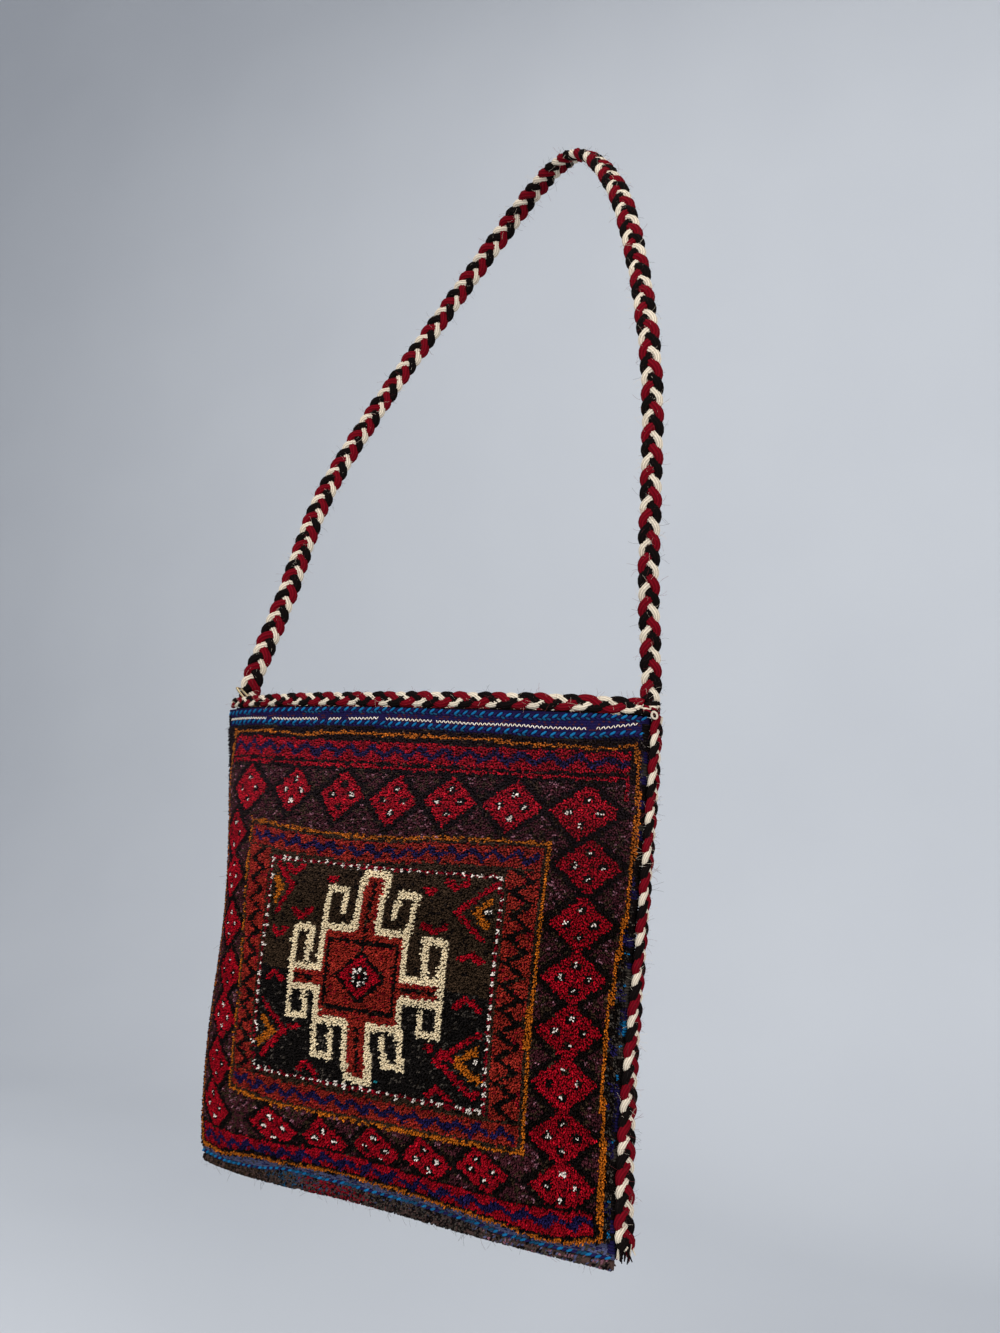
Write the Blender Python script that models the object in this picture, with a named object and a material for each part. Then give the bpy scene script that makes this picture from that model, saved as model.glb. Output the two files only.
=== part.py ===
"""Shoulder bag made from a small pile rug, with plaited wool edges, a long plaited strap
and a zip across the mouth. Metres, +Z up. The front of the bag looks along -Y, the mouth
runs along X, and the origin is where the strap rests on whatever carries it."""

import math

import bmesh
import bpy
import numpy as np
from mathutils import Vector

# Clearances
GAP = 0.0003                   # between two pieces that touch
RUNNING_GAP = 0.0003           # between the zip slider and what it runs on

# The bag's body
FACE_WIDTH = 0.353             # seam to seam
HALF_WIDTH = FACE_WIDTH / 2
WOVEN_HEIGHT = 0.339           # mouth edge to the bottom seam
GROUND_THICKNESS = 0.0025      # the woven cloth without its pile
PILE_HEIGHT = 0.0032           # wool pile above the cloth
SEAM_HALF_GAP = 0.0016         # half the distance between the two cloths at a side seam
SECTION_POWER = 4.0            # how square the cushion-like section is
BACK_TURN_WIDTH = 0.120        # width of the left side that is bent towards the back

# Shares of the height, from the mouth down, and the bag's shape at each of them
HEIGHT_SHARES = (0.0, 0.15, 0.45, 0.75, 0.92, 1.0)
LEFT_SEAM_OUTS = (0.0010, -0.0020, 0.0045, 0.0055, 0.0005, -0.0045)       # beyond half the width
RIGHT_SEAM_OUTS = (-0.0010, -0.0015, -0.0040, -0.0060, -0.0050, -0.0030)
LEFT_SEAM_X = [-HALF_WIDTH - out for out in LEFT_SEAM_OUTS]
RIGHT_SEAM_X = [HALF_WIDTH + out for out in RIGHT_SEAM_OUTS]
LEFT_SEAM_BACK = (0.0, 0.008, 0.030, 0.028, 0.024, 0.021)
FRONT_STAND = (0.026, 0.030, 0.033, 0.030, 0.018, 0.003)
BACK_STAND = (0.022, 0.022, 0.022, 0.020, 0.012, 0.0015)

# Where the pile begins, in from the edges of the cloth
PILE_TOP_INSET = 0.014
PILE_BOTTOM_INSET = 0.011
PILE_SIDE_INSET = 0.0058
PILE_SHOULDER = 0.0016         # width over which the pile rises

# Plaits: width across the two columns of strands, and thickness
STRAP_WIDTH = 0.0170
STRAP_THICKNESS = 0.0090
SIDE_PLAIT_WIDTH = 0.0155
SIDE_PLAIT_THICKNESS = 0.0075
RIGHT_PLAIT_TURNS = (-4.0, -8.0, -12.0, 10.0, 22.0, 28.0)  # degrees, at the height shares
PLAIT_CLEARANCE = 0.0020       # more room for the right plait where it is turned
LEFT_PLAIT_INSET = 0.0095      # its middle lies on the back, this far in from the seam
RIM_PLAIT_HEIGHT = 0.0115
RIM_PLAIT_THICKNESS = 0.0072
RIM_END_SPACE = 0.0022         # from a corner knot to the end of a rim plait
RIM_PLAIT_LEFT_INSET = 0.0030  # the front rim plait runs almost to the left seam
PLAIT_SIDES = 10
PLAIT_STEP = 0.0125            # distance between two sections of a plait

# Yarn binding over the side seams
BINDING_REACH = 0.0042
BINDING_THICKNESS = 0.0010

# Corner knots and the plaits' tails
KNOT_WIDTH = 0.0150
KNOT_DEPTH = 0.0125
KNOT_HEIGHT = 0.0090
KNOT_TURNS = 3
KNOT_STEPS_PER_TURN = 4
KNOT_SIDES = 12
KNOT_GROOVE = 0.0007
RIGHT_KNOT_INSET = 0.0010      # the right knot's middle lies this far inside the seam
TAIL_LENGTH = 0.0110
TAIL_SIDES = 8
TAIL_DEPTH_SHARES = (0.0, 0.25, 0.55, 1.0)
TAIL_SIZE_SHARES = (0.80, 0.62, 0.75, 0.55)

# Bottom hem
HEM_HEIGHT = 0.0070
HEM_THICKNESS = 0.0085
HEM_END_INSET = 0.0015
HEM_DEPTH_SHARES = (0.0, 0.35, 0.80, 1.0)
HEM_WIDTH_SHARES = (0.72, 1.0, 0.90, 0.58)

# Zip
TAPE_THICKNESS = 0.0008
ZIP_LEFT_END = -HALF_WIDTH + 0.0085
ZIP_RIGHT_END = HALF_WIDTH - 0.0245
ZIP_ROW_INSET = 0.003          # the tapes run on past the teeth
TOOTH_PITCH = 0.0040
TOOTH_WIDTH_SHARE = 0.5
ROW_RAIL_WIDTH = 0.0010
TOOTH_REACH = 0.0012
TOOTH_HEIGHT = 0.0026
CHANNEL_HALF_GAP = 0.0015      # from the zip's middle line to the tips of the teeth
STOP_LENGTH = 0.0022

# Slider and its pull ring
SLIDER_LENGTH = 0.0110
SLIDER_PLATE = 0.0010
SLIDER_FLANGE = 0.0011
SLIDER_TAIL_SHARE = 0.90       # the tail end's flanges are thinner
SLIDER_LENGTH_SHARES = (-0.5, -0.2, 0.3, 0.5)
SLIDER_START_INSET = 0.0040    # from the end of the tape to the slider's end at rest
SLIDER_END_INSET = 0.0140
BAIL_SPAN = 0.0080
BAIL_CLEAR_HEIGHT = 0.0030
BAIL_BAR = 0.0012
BAIL_WIDTH = 0.0020
BAIL_SINK = 0.0004
RING_LENGTH = 0.0220
RING_WIDTH = 0.0095
RING_WIRE = 0.0018
RING_STRAIGHT = 0.0040         # straight piece of its wire, which turns in the bail
RING_TURNS = 24
RING_SIDES = 8
RING_LEAN = math.radians(50.0)  # the ring lies over to the left, on the corner

# The strap's route from the right foot to the left, seen from the mouth's middle:
# chosen by hand, in metres
STRAP_ROUTE = [
    (0.1765, -0.022, 0.095),
    (0.1800, -0.043, 0.203),
    (0.1695, -0.043, 0.277),
    (0.1445, -0.027, 0.358),
    (0.1190, -0.010, 0.404),
    (0.0920, 0.010, 0.434),
    (0.0620, 0.032, 0.446),
    (0.0280, 0.053, 0.439),
    (-0.0120, 0.070, 0.412),
    (-0.0770, 0.084, 0.346),
    (-0.1230, 0.075, 0.271),
    (-0.1500, 0.052, 0.190),
    (-0.1565, 0.026, 0.100),
]
CURVE_STEPS = 12
# Direction across the strap's width, at shares of its length
STRAP_WIDTH_SHARES = (0.0, 0.33, 0.46, 0.62, 0.85, 1.0)
STRAP_WIDTH_DIRECTIONS = (
    (0.90, 0.44, 0.0),
    (1.0, 0.05, 0.0),
    (0.60, 0.75, 0.0),
    (0.88, 0.25, -0.35),
    (0.85, 0.50, 0.0),
    (0.87, 0.50, 0.0),
)

# Mesh steps
FRONT_COLUMNS = 22
BACK_COLUMNS = 14
PANEL_ROWS = 20
HEM_STEPS = 26
TAPE_STEPS = 30
STATION_SPACE_SHARE = 0.35     # plain stations nearer than this to a special one are dropped
NORMAL_STEP_SHARE = 0.002      # step over the cloth when its normal is worked out
SHARP_ANGLE = math.radians(40.0)

ROW_DISTANCE = CHANNEL_HALF_GAP + TOOTH_REACH
TAPE_TOP = GAP + TAPE_THICKNESS
RIM_BASE = TAPE_TOP + GAP
RIM_CENTRE_Z = RIM_BASE + RIM_PLAIT_HEIGHT / 2
TAPE_CENTRE_Z = GAP + TAPE_THICKNESS / 2


def clear_scene():
    for item in list(bpy.data.objects):
        bpy.data.objects.remove(item, do_unlink=True)


def finish(name, colour, roughness, metallic=0.0):
    """One Principled material, named after its piece."""
    material = bpy.data.materials.new(name)
    material.use_nodes = True
    shader = material.node_tree.nodes["Principled BSDF"]
    shader.inputs["Base Color"].default_value = (*colour, 1.0)
    shader.inputs["Roughness"].default_value = roughness
    shader.inputs["Metallic"].default_value = metallic
    material.diffuse_color = (*colour, 1.0)
    return material


def smooth_value(share, shares, values):
    """Value of a smooth curve through the given values at the given shares."""
    last = len(shares) - 1
    index = int(np.clip(np.searchsorted(shares, share, side="right") - 1, 0, last - 1))

    def slope(i):
        before, after = max(i - 1, 0), min(i + 1, last)
        return (values[after] - values[before]) / (shares[after] - shares[before])

    span = shares[index + 1] - shares[index]
    part = min(1.0, max(0.0, (share - shares[index]) / span))
    rise = part * part * (3 - 2 * part)
    return (values[index] * (1 - rise) + values[index + 1] * rise
            + span * slope(index) * part * (1 - part) ** 2
            - span * slope(index + 1) * part * part * (1 - part))


def at_height(values, down):
    return smooth_value(down, HEIGHT_SHARES, values)


def cloth_point(side, across, down):
    """A point of the cloth's middle surface. side is -1 for the front and 1 for the back,
    across runs from 0 at the left seam to 1 at the right, down from 0 at the mouth to 1."""
    left = at_height(LEFT_SEAM_X, down)
    x = left + across * (at_height(RIGHT_SEAM_X, down) - left)
    stand = at_height(FRONT_STAND if side < 0 else BACK_STAND, down)
    section = 1.0 - abs(2 * across - 1) ** SECTION_POWER
    bend = max(0.0, 1 - (x - left) / BACK_TURN_WIDTH) ** 2
    y = side * (SEAM_HALF_GAP + stand * section) + at_height(LEFT_SEAM_BACK, down) * bend
    return np.array([x, y, -down * WOVEN_HEIGHT])


def cloth_normal(side, across, down):
    """Outward normal of the cloth, away from the bag's inside."""
    step = NORMAL_STEP_SHARE
    a0, a1 = max(0.0, across - step), min(1.0, across + step)
    d0, d1 = max(0.0, down - step), min(1.0, down + step)
    along = cloth_point(side, a1, down) - cloth_point(side, a0, down)
    fall = cloth_point(side, across, d1) - cloth_point(side, across, d0)
    normal = np.cross(along, fall) * side
    return normal / np.linalg.norm(normal)


def lifted(side, across, down, lift):
    """A point off the cloth's middle surface. The mouth and bottom edges stay level."""
    point = cloth_point(side, across, down)
    raised = point + cloth_normal(side, across, down) * lift
    if down in (0.0, 1.0):
        raised[2] = point[2]
    return raised


def catmull(points, steps):
    """Points of a smooth curve through the given ones."""
    points = [np.array(p, float) for p in points]
    ends = [2 * points[0] - points[1]] + points + [2 * points[-1] - points[-2]]
    out = []
    for p0, p1, p2, p3 in zip(ends, ends[1:], ends[2:], ends[3:]):
        for k in range(steps):
            u = k / steps
            out.append(0.5 * (2 * p1 + (p2 - p0) * u + (2 * p0 - 5 * p1 + 4 * p2 - p3) * u**2
                              + (3 * p1 - p0 - 3 * p2 + p3) * u**3))
    out.append(points[-1])
    return np.array(out)


def resample(points, count):
    """The same curve, with its points evenly apart."""
    lengths = np.concatenate([[0], np.cumsum(np.linalg.norm(np.diff(points, axis=0), axis=1))])
    wanted = np.linspace(0, lengths[-1], count)
    return np.stack([np.interp(wanted, lengths, points[:, i]) for i in range(3)], axis=1), lengths[-1]


def unit(vector):
    return vector / np.linalg.norm(vector)


def oval(centre, wide, thick, half_width, half_thickness, sides):
    """Points round an oval, starting beside its flat direction, so that the first half
    of them lies opposite the second."""
    angles = [2 * math.pi * (k + 0.5) / sides for k in range(sides)]
    return [centre + wide * (half_width * math.cos(a)) + thick * (half_thickness * math.sin(a))
            for a in angles]


def plait_rings(path, width_directions, width, thickness, level_ends=False):
    """Oval sections along a path."""
    rings = []
    last = len(path) - 1
    for i, centre in enumerate(path):
        tangent = unit(path[min(i + 1, last)] - path[max(i - 1, 0)])
        wide = np.array(width_directions[i], float)
        wide = unit(wide - tangent * wide.dot(tangent))
        ring = oval(centre, wide, np.cross(tangent, wide), width / 2, thickness / 2, PLAIT_SIDES)
        if level_ends and i in (0, last):
            for point in ring:
                point[2] = centre[2]
        rings.append(ring)
    return rings


def loft(rings, fan_caps=False):
    """A closed solid through rings of points. A ring's first half and its second half
    lie opposite each other, so that the ends close as ladders of faces."""
    mesh = bmesh.new()
    size = len(rings[0])
    verts = [[mesh.verts.new(Vector(p)) for p in ring] for ring in rings]
    for lower, upper in zip(verts, verts[1:]):
        for i in range(size):
            j = (i + 1) % size
            mesh.faces.new((lower[i], lower[j], upper[j], upper[i]))
    for ring in (verts[0], verts[-1]):
        if fan_caps:
            mesh.faces.new(ring)
        else:
            for i in range(size // 2 - 1):
                mesh.faces.new((ring[i], ring[i + 1], ring[size - 2 - i], ring[size - 1 - i]))
    return mesh


def slab(outline, bottom, top):
    """A flat piece of the given outline, standing from bottom to top along Z."""
    rings = [[np.array([x, y, z]) for x, y in outline] for z in (bottom, top)]
    return loft(rings, fan_caps=True)


def add_piece(name, mesh, material, origin=(0, 0, 0), parent=None, smooth=True):
    """Turns a mesh into a named object, with its faces pointing out."""
    bmesh.ops.recalc_face_normals(mesh, faces=mesh.faces)
    bmesh.ops.triangulate(mesh, faces=mesh.faces)
    if mesh.calc_volume(signed=True) < 0:
        bmesh.ops.reverse_faces(mesh, faces=mesh.faces)
    origin = Vector(origin)
    bmesh.ops.translate(mesh, verts=mesh.verts, vec=-origin)
    data = bpy.data.meshes.new(name)
    mesh.to_mesh(data)
    mesh.free()
    piece = bpy.data.objects.new(name, data)
    bpy.context.scene.collection.objects.link(piece)
    data.materials.append(material)
    if smooth:
        data.shade_smooth()
        data.set_sharp_from_angle(angle=SHARP_ANGLE)
    piece.parent = parent
    piece.location = origin - parent.location if parent else origin
    return piece


def stations(count, extra):
    """Shares from 0 to 1, evenly apart, with extra ones where something starts or stops."""
    plain = [i / count for i in range(count + 1)]
    near = STATION_SPACE_SHARE / count
    kept = [p for p in plain if p in (0.0, 1.0) or all(abs(p - e) > near for e in extra)]
    return sorted(kept + list(extra))


def down_stations():
    """Shares of the height that panels and bindings have in common, so that they nest."""
    rise = PILE_SHOULDER / WOVEN_HEIGHT
    top = PILE_TOP_INSET / WOVEN_HEIGHT
    bottom = 1 - PILE_BOTTOM_INSET / WOVEN_HEIGHT
    return stations(PANEL_ROWS, (top, top + rise, bottom - rise, bottom))


def across_stations(count, with_pile):
    """Shares of the width, with those where the bindings and the pile end."""
    reach = BINDING_REACH / FACE_WIDTH
    near = [reach / 2, reach]
    if with_pile:
        near += [PILE_SIDE_INSET / FACE_WIDTH, (PILE_SIDE_INSET + PILE_SHOULDER) / FACE_WIDTH]
    return stations(count, near + [1 - share for share in near])


def pile_lift(across, down):
    """Height of the pile over the cloth: nothing on the flat-woven ends and selvedges."""
    left = across * FACE_WIDTH
    right = (1 - across) * FACE_WIDTH
    upper = down * WOVEN_HEIGHT
    lower = (1 - down) * WOVEN_HEIGHT
    rises = (
        (left - PILE_SIDE_INSET) / PILE_SHOULDER,
        (right - PILE_SIDE_INSET) / PILE_SHOULDER,
        (upper - PILE_TOP_INSET) / PILE_SHOULDER,
        (lower - PILE_BOTTOM_INSET) / PILE_SHOULDER,
    )
    return PILE_HEIGHT * min(1.0, max(0.0, min(rises)))


def make_panel(name, side, columns, material):
    rings = []
    for down in down_stations():
        outer, inner = [], []
        for across in across_stations(columns, side < 0):
            pile = pile_lift(across, down) if side < 0 else 0.0
            outer.append(lifted(side, across, down, GROUND_THICKNESS / 2 + pile))
            inner.append(lifted(side, across, down, -GROUND_THICKNESS / 2))
        rings.append(outer + inner[::-1])
    return add_piece(name, loft(rings), material)


def seam_point(edge, down):
    """Middle of a side seam, between the two cloths' edges."""
    return (cloth_point(-1, edge, down) + cloth_point(1, edge, down)) / 2


def seam_reach(edge, down):
    """How far out along X the edges of both cloths come at a side seam."""
    outward = 1.0 if edge == 1 else -1.0
    half = GROUND_THICKNESS / 2
    return max(lifted(side, edge, down, lift)[0] * outward for side in (-1, 1) for lift in (-half, half))


def make_side_binding(name, edge, material):
    """Overcast yarn that wraps the edges of both cloths along a side seam."""
    outward = 1.0 if edge == 1 else -1.0
    shares = [BINDING_REACH / FACE_WIDTH * k / 2 for k in (2, 1, 0)]
    inner_lift = GROUND_THICKNESS / 2 + GAP
    outer_lift = inner_lift + BINDING_THICKNESS

    def half_section(side, down, lift, outset):
        line = [lifted(side, edge - outward * share, down, lift) for share in shares]
        reach = seam_reach(edge, down) + outset
        run = line[-1] - line[-2]
        line[-1] = line[-2] + run * max(1.0, (reach - line[-2][0] * outward) / (run[0] * outward))
        nose = seam_point(edge, down) + np.array([0, side * SEAM_HALF_GAP, 0])
        nose[0] = outward * reach
        return line + [nose]

    rings = []
    for down in down_stations()[1:-1]:
        outer = (half_section(-1, down, outer_lift, GAP + BINDING_THICKNESS)
                 + half_section(1, down, outer_lift, GAP + BINDING_THICKNESS)[::-1])
        inner = half_section(-1, down, inner_lift, GAP) + half_section(1, down, inner_lift, GAP)[::-1]
        rings.append(outer + inner[::-1])
    return add_piece(name, loft(rings), material)


def side_plait_place(edge, down):
    """Middle of a side plait and the direction of its width. The right one lies outside
    the seam, the left one on the back cloth beside the seam."""
    if edge == 1:
        turn = math.radians(at_height(RIGHT_PLAIT_TURNS, down))
        centre = seam_point(edge, down)
        centre[0] = seam_reach(edge, down) + BINDING_THICKNESS + 2 * GAP + SIDE_PLAIT_THICKNESS / 2
        centre[0] += SIDE_PLAIT_WIDTH / 2 * (1 - math.cos(turn)) + PLAIT_CLEARANCE * abs(math.sin(turn))
        return centre, np.array([math.sin(turn), math.cos(turn), 0.0])
    across = LEFT_PLAIT_INSET / FACE_WIDTH
    lift = GROUND_THICKNESS / 2 + BINDING_THICKNESS + 2 * GAP + SIDE_PLAIT_THICKNESS / 2
    normal = cloth_normal(1, across, down)
    return lifted(1, across, down, lift), unit(np.array([normal[1], -normal[0], 0.0]))


def make_side_plait(name, edge, material):
    """The plait down one side seam. Gives back where it ends, for its tail."""
    last = 1 - (TAIL_LENGTH - HEM_HEIGHT / 2) / WOVEN_HEIGHT
    steps = round(last * WOVEN_HEIGHT / PLAIT_STEP)
    places = [side_plait_place(edge, last * step / steps) for step in range(steps + 1)]
    path = [centre for centre, _ in places]
    path[0][2] = TAPE_TOP
    directions = [direction for _, direction in places]
    rings = plait_rings(path, directions, SIDE_PLAIT_WIDTH, SIDE_PLAIT_THICKNESS, level_ends=True)
    add_piece(name, loft(rings), material)
    return places[-1]


def make_tail(name, top, wide, material):
    """Frayed end of a side plait, bound off and cut."""
    thick = np.cross(wide, np.array([0, 0, 1.0]))
    rings = []
    for depth, size in zip(TAIL_DEPTH_SHARES, TAIL_SIZE_SHARES):
        centre = top - np.array([0, 0, GAP + depth * TAIL_LENGTH])
        rings.append(oval(centre, wide, thick, SIDE_PLAIT_WIDTH / 2 * size,
                          SIDE_PLAIT_THICKNESS / 2 * size, TAIL_SIDES))
    add_piece(name, loft(rings), material)


def make_rim_plait(name, side, material):
    """Plait sewn along the mouth edge of one cloth. It stops at the right corner knot; at the
    left the front one runs on in front of the knot and the back one stops before it."""
    left_x, right_x = LEFT_SEAM_X[0], RIGHT_SEAM_X[0]
    knot_space = KNOT_WIDTH / 2 + RIM_END_SPACE
    end = knot_centre(1)[0] - knot_space
    start = left_x + RIM_PLAIT_LEFT_INSET if side < 0 else knot_centre(0)[0] + knot_space
    count = round((end - start) / PLAIT_STEP)
    path = []
    for i in range(count + 1):
        x = start + (end - start) * i / count
        point = cloth_point(side, (x - left_x) / (right_x - left_x), 0.0)
        point[2] = RIM_CENTRE_Z
        path.append(point)
    directions = [(0, 0, 1)] * len(path)
    rings = plait_rings(path, directions, RIM_PLAIT_HEIGHT, RIM_PLAIT_THICKNESS)
    add_piece(name, loft(rings), material)


def make_hem(material):
    """Folded raw edges of both cloths, sewn together along the bottom."""
    rings = []
    inset = HEM_END_INSET / FACE_WIDTH
    for i in range(HEM_STEPS + 1):
        across = inset + (1 - 2 * inset) * i / HEM_STEPS
        top = (cloth_point(-1, across, 1.0) + cloth_point(1, across, 1.0)) / 2
        sides = []
        for side in (-1, 1):
            sides.append([top + np.array([0, side * HEM_THICKNESS / 2 * width, -GAP - HEM_HEIGHT * depth])
                          for depth, width in zip(HEM_DEPTH_SHARES, HEM_WIDTH_SHARES)])
        rings.append(sides[0] + sides[1][::-1])
    add_piece("bottom_hem", loft(rings), material)


def knot_centre(edge):
    """Middle of a corner knot's underside."""
    if edge == 1:
        return np.array([RIGHT_SEAM_X[0] - RIGHT_KNOT_INSET, 0.0, RIM_BASE])
    centre, _ = side_plait_place(edge, 0.0)
    return np.array([centre[0], centre[1], RIM_BASE])


def make_knot(name, edge, material):
    """Yarn wound round the place where strap, rim plaits and side plait meet."""
    centre = knot_centre(edge)
    rings = []
    steps = KNOT_TURNS * KNOT_STEPS_PER_TURN
    for i in range(steps + 1):
        share = i / steps
        groove = KNOT_GROOVE * (1 + math.cos(share * KNOT_TURNS * 2 * math.pi))
        middle = centre + np.array([0, 0, share * KNOT_HEIGHT])
        rings.append(oval(middle, np.array([1.0, 0, 0]), np.array([0, 1.0, 0]),
                          KNOT_WIDTH / 2 - groove, KNOT_DEPTH / 2 - groove, KNOT_SIDES))
    add_piece(name, loft(rings), material)


def strap_line():
    """Middle line of the strap, from the right corner over the rest to the left corner."""
    lift = np.array([0, 0, KNOT_HEIGHT + GAP])
    right, left = knot_centre(1) + lift, knot_centre(0) + lift
    riser = np.array([0, 0, STRAP_WIDTH])
    route = [right, right + riser] + [np.array(p) for p in STRAP_ROUTE] + [left + riser, left]
    smooth = catmull(route, CURVE_STEPS)
    length = np.linalg.norm(np.diff(smooth, axis=0), axis=1).sum()
    return resample(smooth, round(length / PLAIT_STEP) + 1)


def make_strap(path, material):
    directions = []
    for i in range(len(path)):
        share = i / (len(path) - 1)
        directions.append([smooth_value(share, STRAP_WIDTH_SHARES, [d[k] for d in STRAP_WIDTH_DIRECTIONS])
                           for k in range(3)])
    rings = plait_rings(path, directions, STRAP_WIDTH, STRAP_THICKNESS, level_ends=True)
    add_piece("strap", loft(rings), material)


def make_tape(name, side, material):
    """Half of the zip's cloth tape, caught between the cloth's mouth edge and its plait."""
    outer, inner = [], []
    for i in range(TAPE_STEPS + 1):
        x = ZIP_LEFT_END + (ZIP_RIGHT_END - ZIP_LEFT_END) * i / TAPE_STEPS
        across = (x - LEFT_SEAM_X[0]) / (RIGHT_SEAM_X[0] - LEFT_SEAM_X[0])
        edge = cloth_point(side, across, 0.0)[1]
        outer.append((x, edge))
        inner.append((x, side * (ROW_DISTANCE + ROW_RAIL_WIDTH + GAP)))
    rings = []
    for out_point, in_point in zip(outer, inner):
        low, high = GAP, GAP + TAPE_THICKNESS
        rings.append([np.array([*out_point, low]), np.array([*in_point, low]),
                      np.array([*in_point, high]), np.array([*out_point, high])])
    return add_piece(name, loft(rings), material, smooth=False)


def tooth_places(side):
    """The left edge of every tooth of a row; the back row's teeth stand between the front's."""
    start = ZIP_LEFT_END + ZIP_ROW_INSET
    count = int((ZIP_RIGHT_END - ZIP_ROW_INSET - start) / TOOTH_PITCH)
    offset = 0.0 if side < 0 else TOOTH_PITCH / 2
    return [start + offset + i * TOOTH_PITCH for i in range(count)]


def make_teeth(name, side, material):
    """A row of teeth on its cord: a straight comb along the edge of the tape."""
    width = TOOTH_PITCH * TOOTH_WIDTH_SHARE
    places = tooth_places(side)
    comb = []
    for x in places:
        for place, reach in ((x, 0.0), (x, TOOTH_REACH), (x + width, TOOTH_REACH), (x + width, 0.0)):
            comb.append((place, side * (ROW_DISTANCE - reach)))
    back = side * (ROW_DISTANCE + ROW_RAIL_WIDTH)
    rail = [(x, back) for x in places] + [(places[-1] + width, back)]
    low = TAPE_CENTRE_Z - TOOTH_HEIGHT / 2
    return add_piece(name, slab(comb + rail[::-1], low, low + TOOTH_HEIGHT), material, smooth=False)


def make_stops(material):
    """Four crimped stops, one at each end of each row."""
    low = TAPE_CENTRE_Z - TOOTH_HEIGHT / 2
    for side_name, side in (("front", -1), ("back", 1)):
        left_end = ZIP_LEFT_END + ZIP_ROW_INSET - GAP
        right_end = tooth_places(side)[-1] + TOOTH_PITCH * TOOTH_WIDTH_SHARE + GAP
        for end_name, x0, outward in (("left", left_end, -1), ("right", right_end, 1)):
            x1 = x0 + outward * STOP_LENGTH
            near = side * (CHANNEL_HALF_GAP + GAP)
            far = side * (ROW_DISTANCE + ROW_RAIL_WIDTH)
            outline = [(x0, near), (x1, near), (x1, far), (x0, far)]
            add_piece(f"zip_stop_{side_name}_{end_name}", slab(outline, low, low + TOOTH_HEIGHT),
                      material, smooth=False)


def slider_section(x, spread):
    """Section of the slider: two plates, a post between the rows, and lips that hold them."""
    post = CHANNEL_HALF_GAP - RUNNING_GAP
    lip_inner = ROW_DISTANCE + ROW_RAIL_WIDTH + RUNNING_GAP
    lip_outer = lip_inner + SLIDER_FLANGE * spread
    tooth_top = TOOTH_HEIGHT / 2 + RUNNING_GAP
    plate_top = tooth_top + SLIDER_PLATE
    lip_edge = TAPE_THICKNESS / 2 + RUNNING_GAP
    quarter = [(post, 0.0), (post, tooth_top), (lip_inner, tooth_top), (lip_inner, lip_edge),
               (lip_outer, lip_edge), (lip_outer, plate_top)]
    upper = quarter + [(-y, z) for y, z in quarter[::-1]]
    lower = [(y, -z) for y, z in upper[::-1] if z > 0]
    return [np.array([x, y, z]) for y, z in upper + lower]


def make_slider(centre, material):
    rings = []
    for share in SLIDER_LENGTH_SHARES:
        spread = 1.0 if share > 0 else SLIDER_TAIL_SHARE
        rings.append([p + centre for p in slider_section(share * SLIDER_LENGTH, spread)])
    body = add_piece("zip_slider", loft(rings, fan_caps=True), material, origin=centre, smooth=False)
    bail = add_piece("zip_slider_bail_shape", make_bail(centre), material, origin=centre)
    bail.hide_render = True
    bail.display_type = "WIRE"
    join = body.modifiers.new("bail", "BOOLEAN")
    join.operation = "UNION"
    join.solver = "EXACT"
    join.object = bail
    return body


def bail_base():
    return TOOTH_HEIGHT / 2 + RUNNING_GAP + SLIDER_PLATE


def make_bail(centre):
    """Arch on the slider's upper plate, which holds the pull ring."""
    base = bail_base() - BAIL_SINK
    top = bail_base() + BAIL_CLEAR_HEIGHT
    outside = BAIL_SPAN / 2
    inside = outside - BAIL_BAR
    chamfer = BAIL_BAR / 2
    outline = [
        (-outside, base), (-outside, top), (-inside, top + BAIL_BAR),
        (inside, top + BAIL_BAR), (outside, top), (outside, base),
        (inside, base), (inside, top - chamfer), (inside - chamfer, top),
        (-inside + chamfer, top), (-inside, top - chamfer), (-inside, base),
    ]
    rings = []
    for y in (-BAIL_WIDTH / 2, BAIL_WIDTH / 2):
        rings.append([np.array([x, y, z]) + centre for x, z in outline])
    return loft(rings, fan_caps=True)


def ring_pivot(centre):
    height = bail_base() + BAIL_CLEAR_HEIGHT - RUNNING_GAP - RING_WIRE / 2
    return centre + np.array([0, 0, height])


def make_pull_ring(centre, slider, material):
    """Oval wire ring through the bail, leaning over to the left."""
    pivot = ring_pivot(centre)
    along = np.array([-math.sin(RING_LEAN), 0, math.cos(RING_LEAN)])
    across = np.array([0, 1.0, 0])
    normal = np.cross(along, across)
    half_long = (RING_LENGTH - RING_WIRE) / 2
    half_wide = (RING_WIDTH - RING_WIRE) / 2
    half_step = math.pi / RING_TURNS
    bend = half_wide - RING_STRAIGHT / 2
    mesh = bmesh.new()
    verts = []
    for i in range(RING_TURNS):
        angle = (2 * i + 1) * half_step
        aside = math.copysign(RING_STRAIGHT / 2, math.sin(angle)) + bend * math.sin(angle)
        middle = pivot + along * half_long * (math.cos(half_step) - math.cos(angle)) + across * aside
        outward = unit(-along * math.cos(angle) * bend + across * math.sin(angle) * half_long)
        section = oval(middle, outward, normal, RING_WIRE / 2, RING_WIRE / 2, RING_SIDES)
        verts.append([mesh.verts.new(Vector(point)) for point in section])
    for i in range(RING_TURNS):
        for k in range(RING_SIDES):
            j, m = (i + 1) % RING_TURNS, (k + 1) % RING_SIDES
            mesh.faces.new((verts[i][k], verts[j][k], verts[j][m], verts[i][m]))
    add_piece("pull_ring", mesh, material, origin=pivot, parent=slider)


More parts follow.
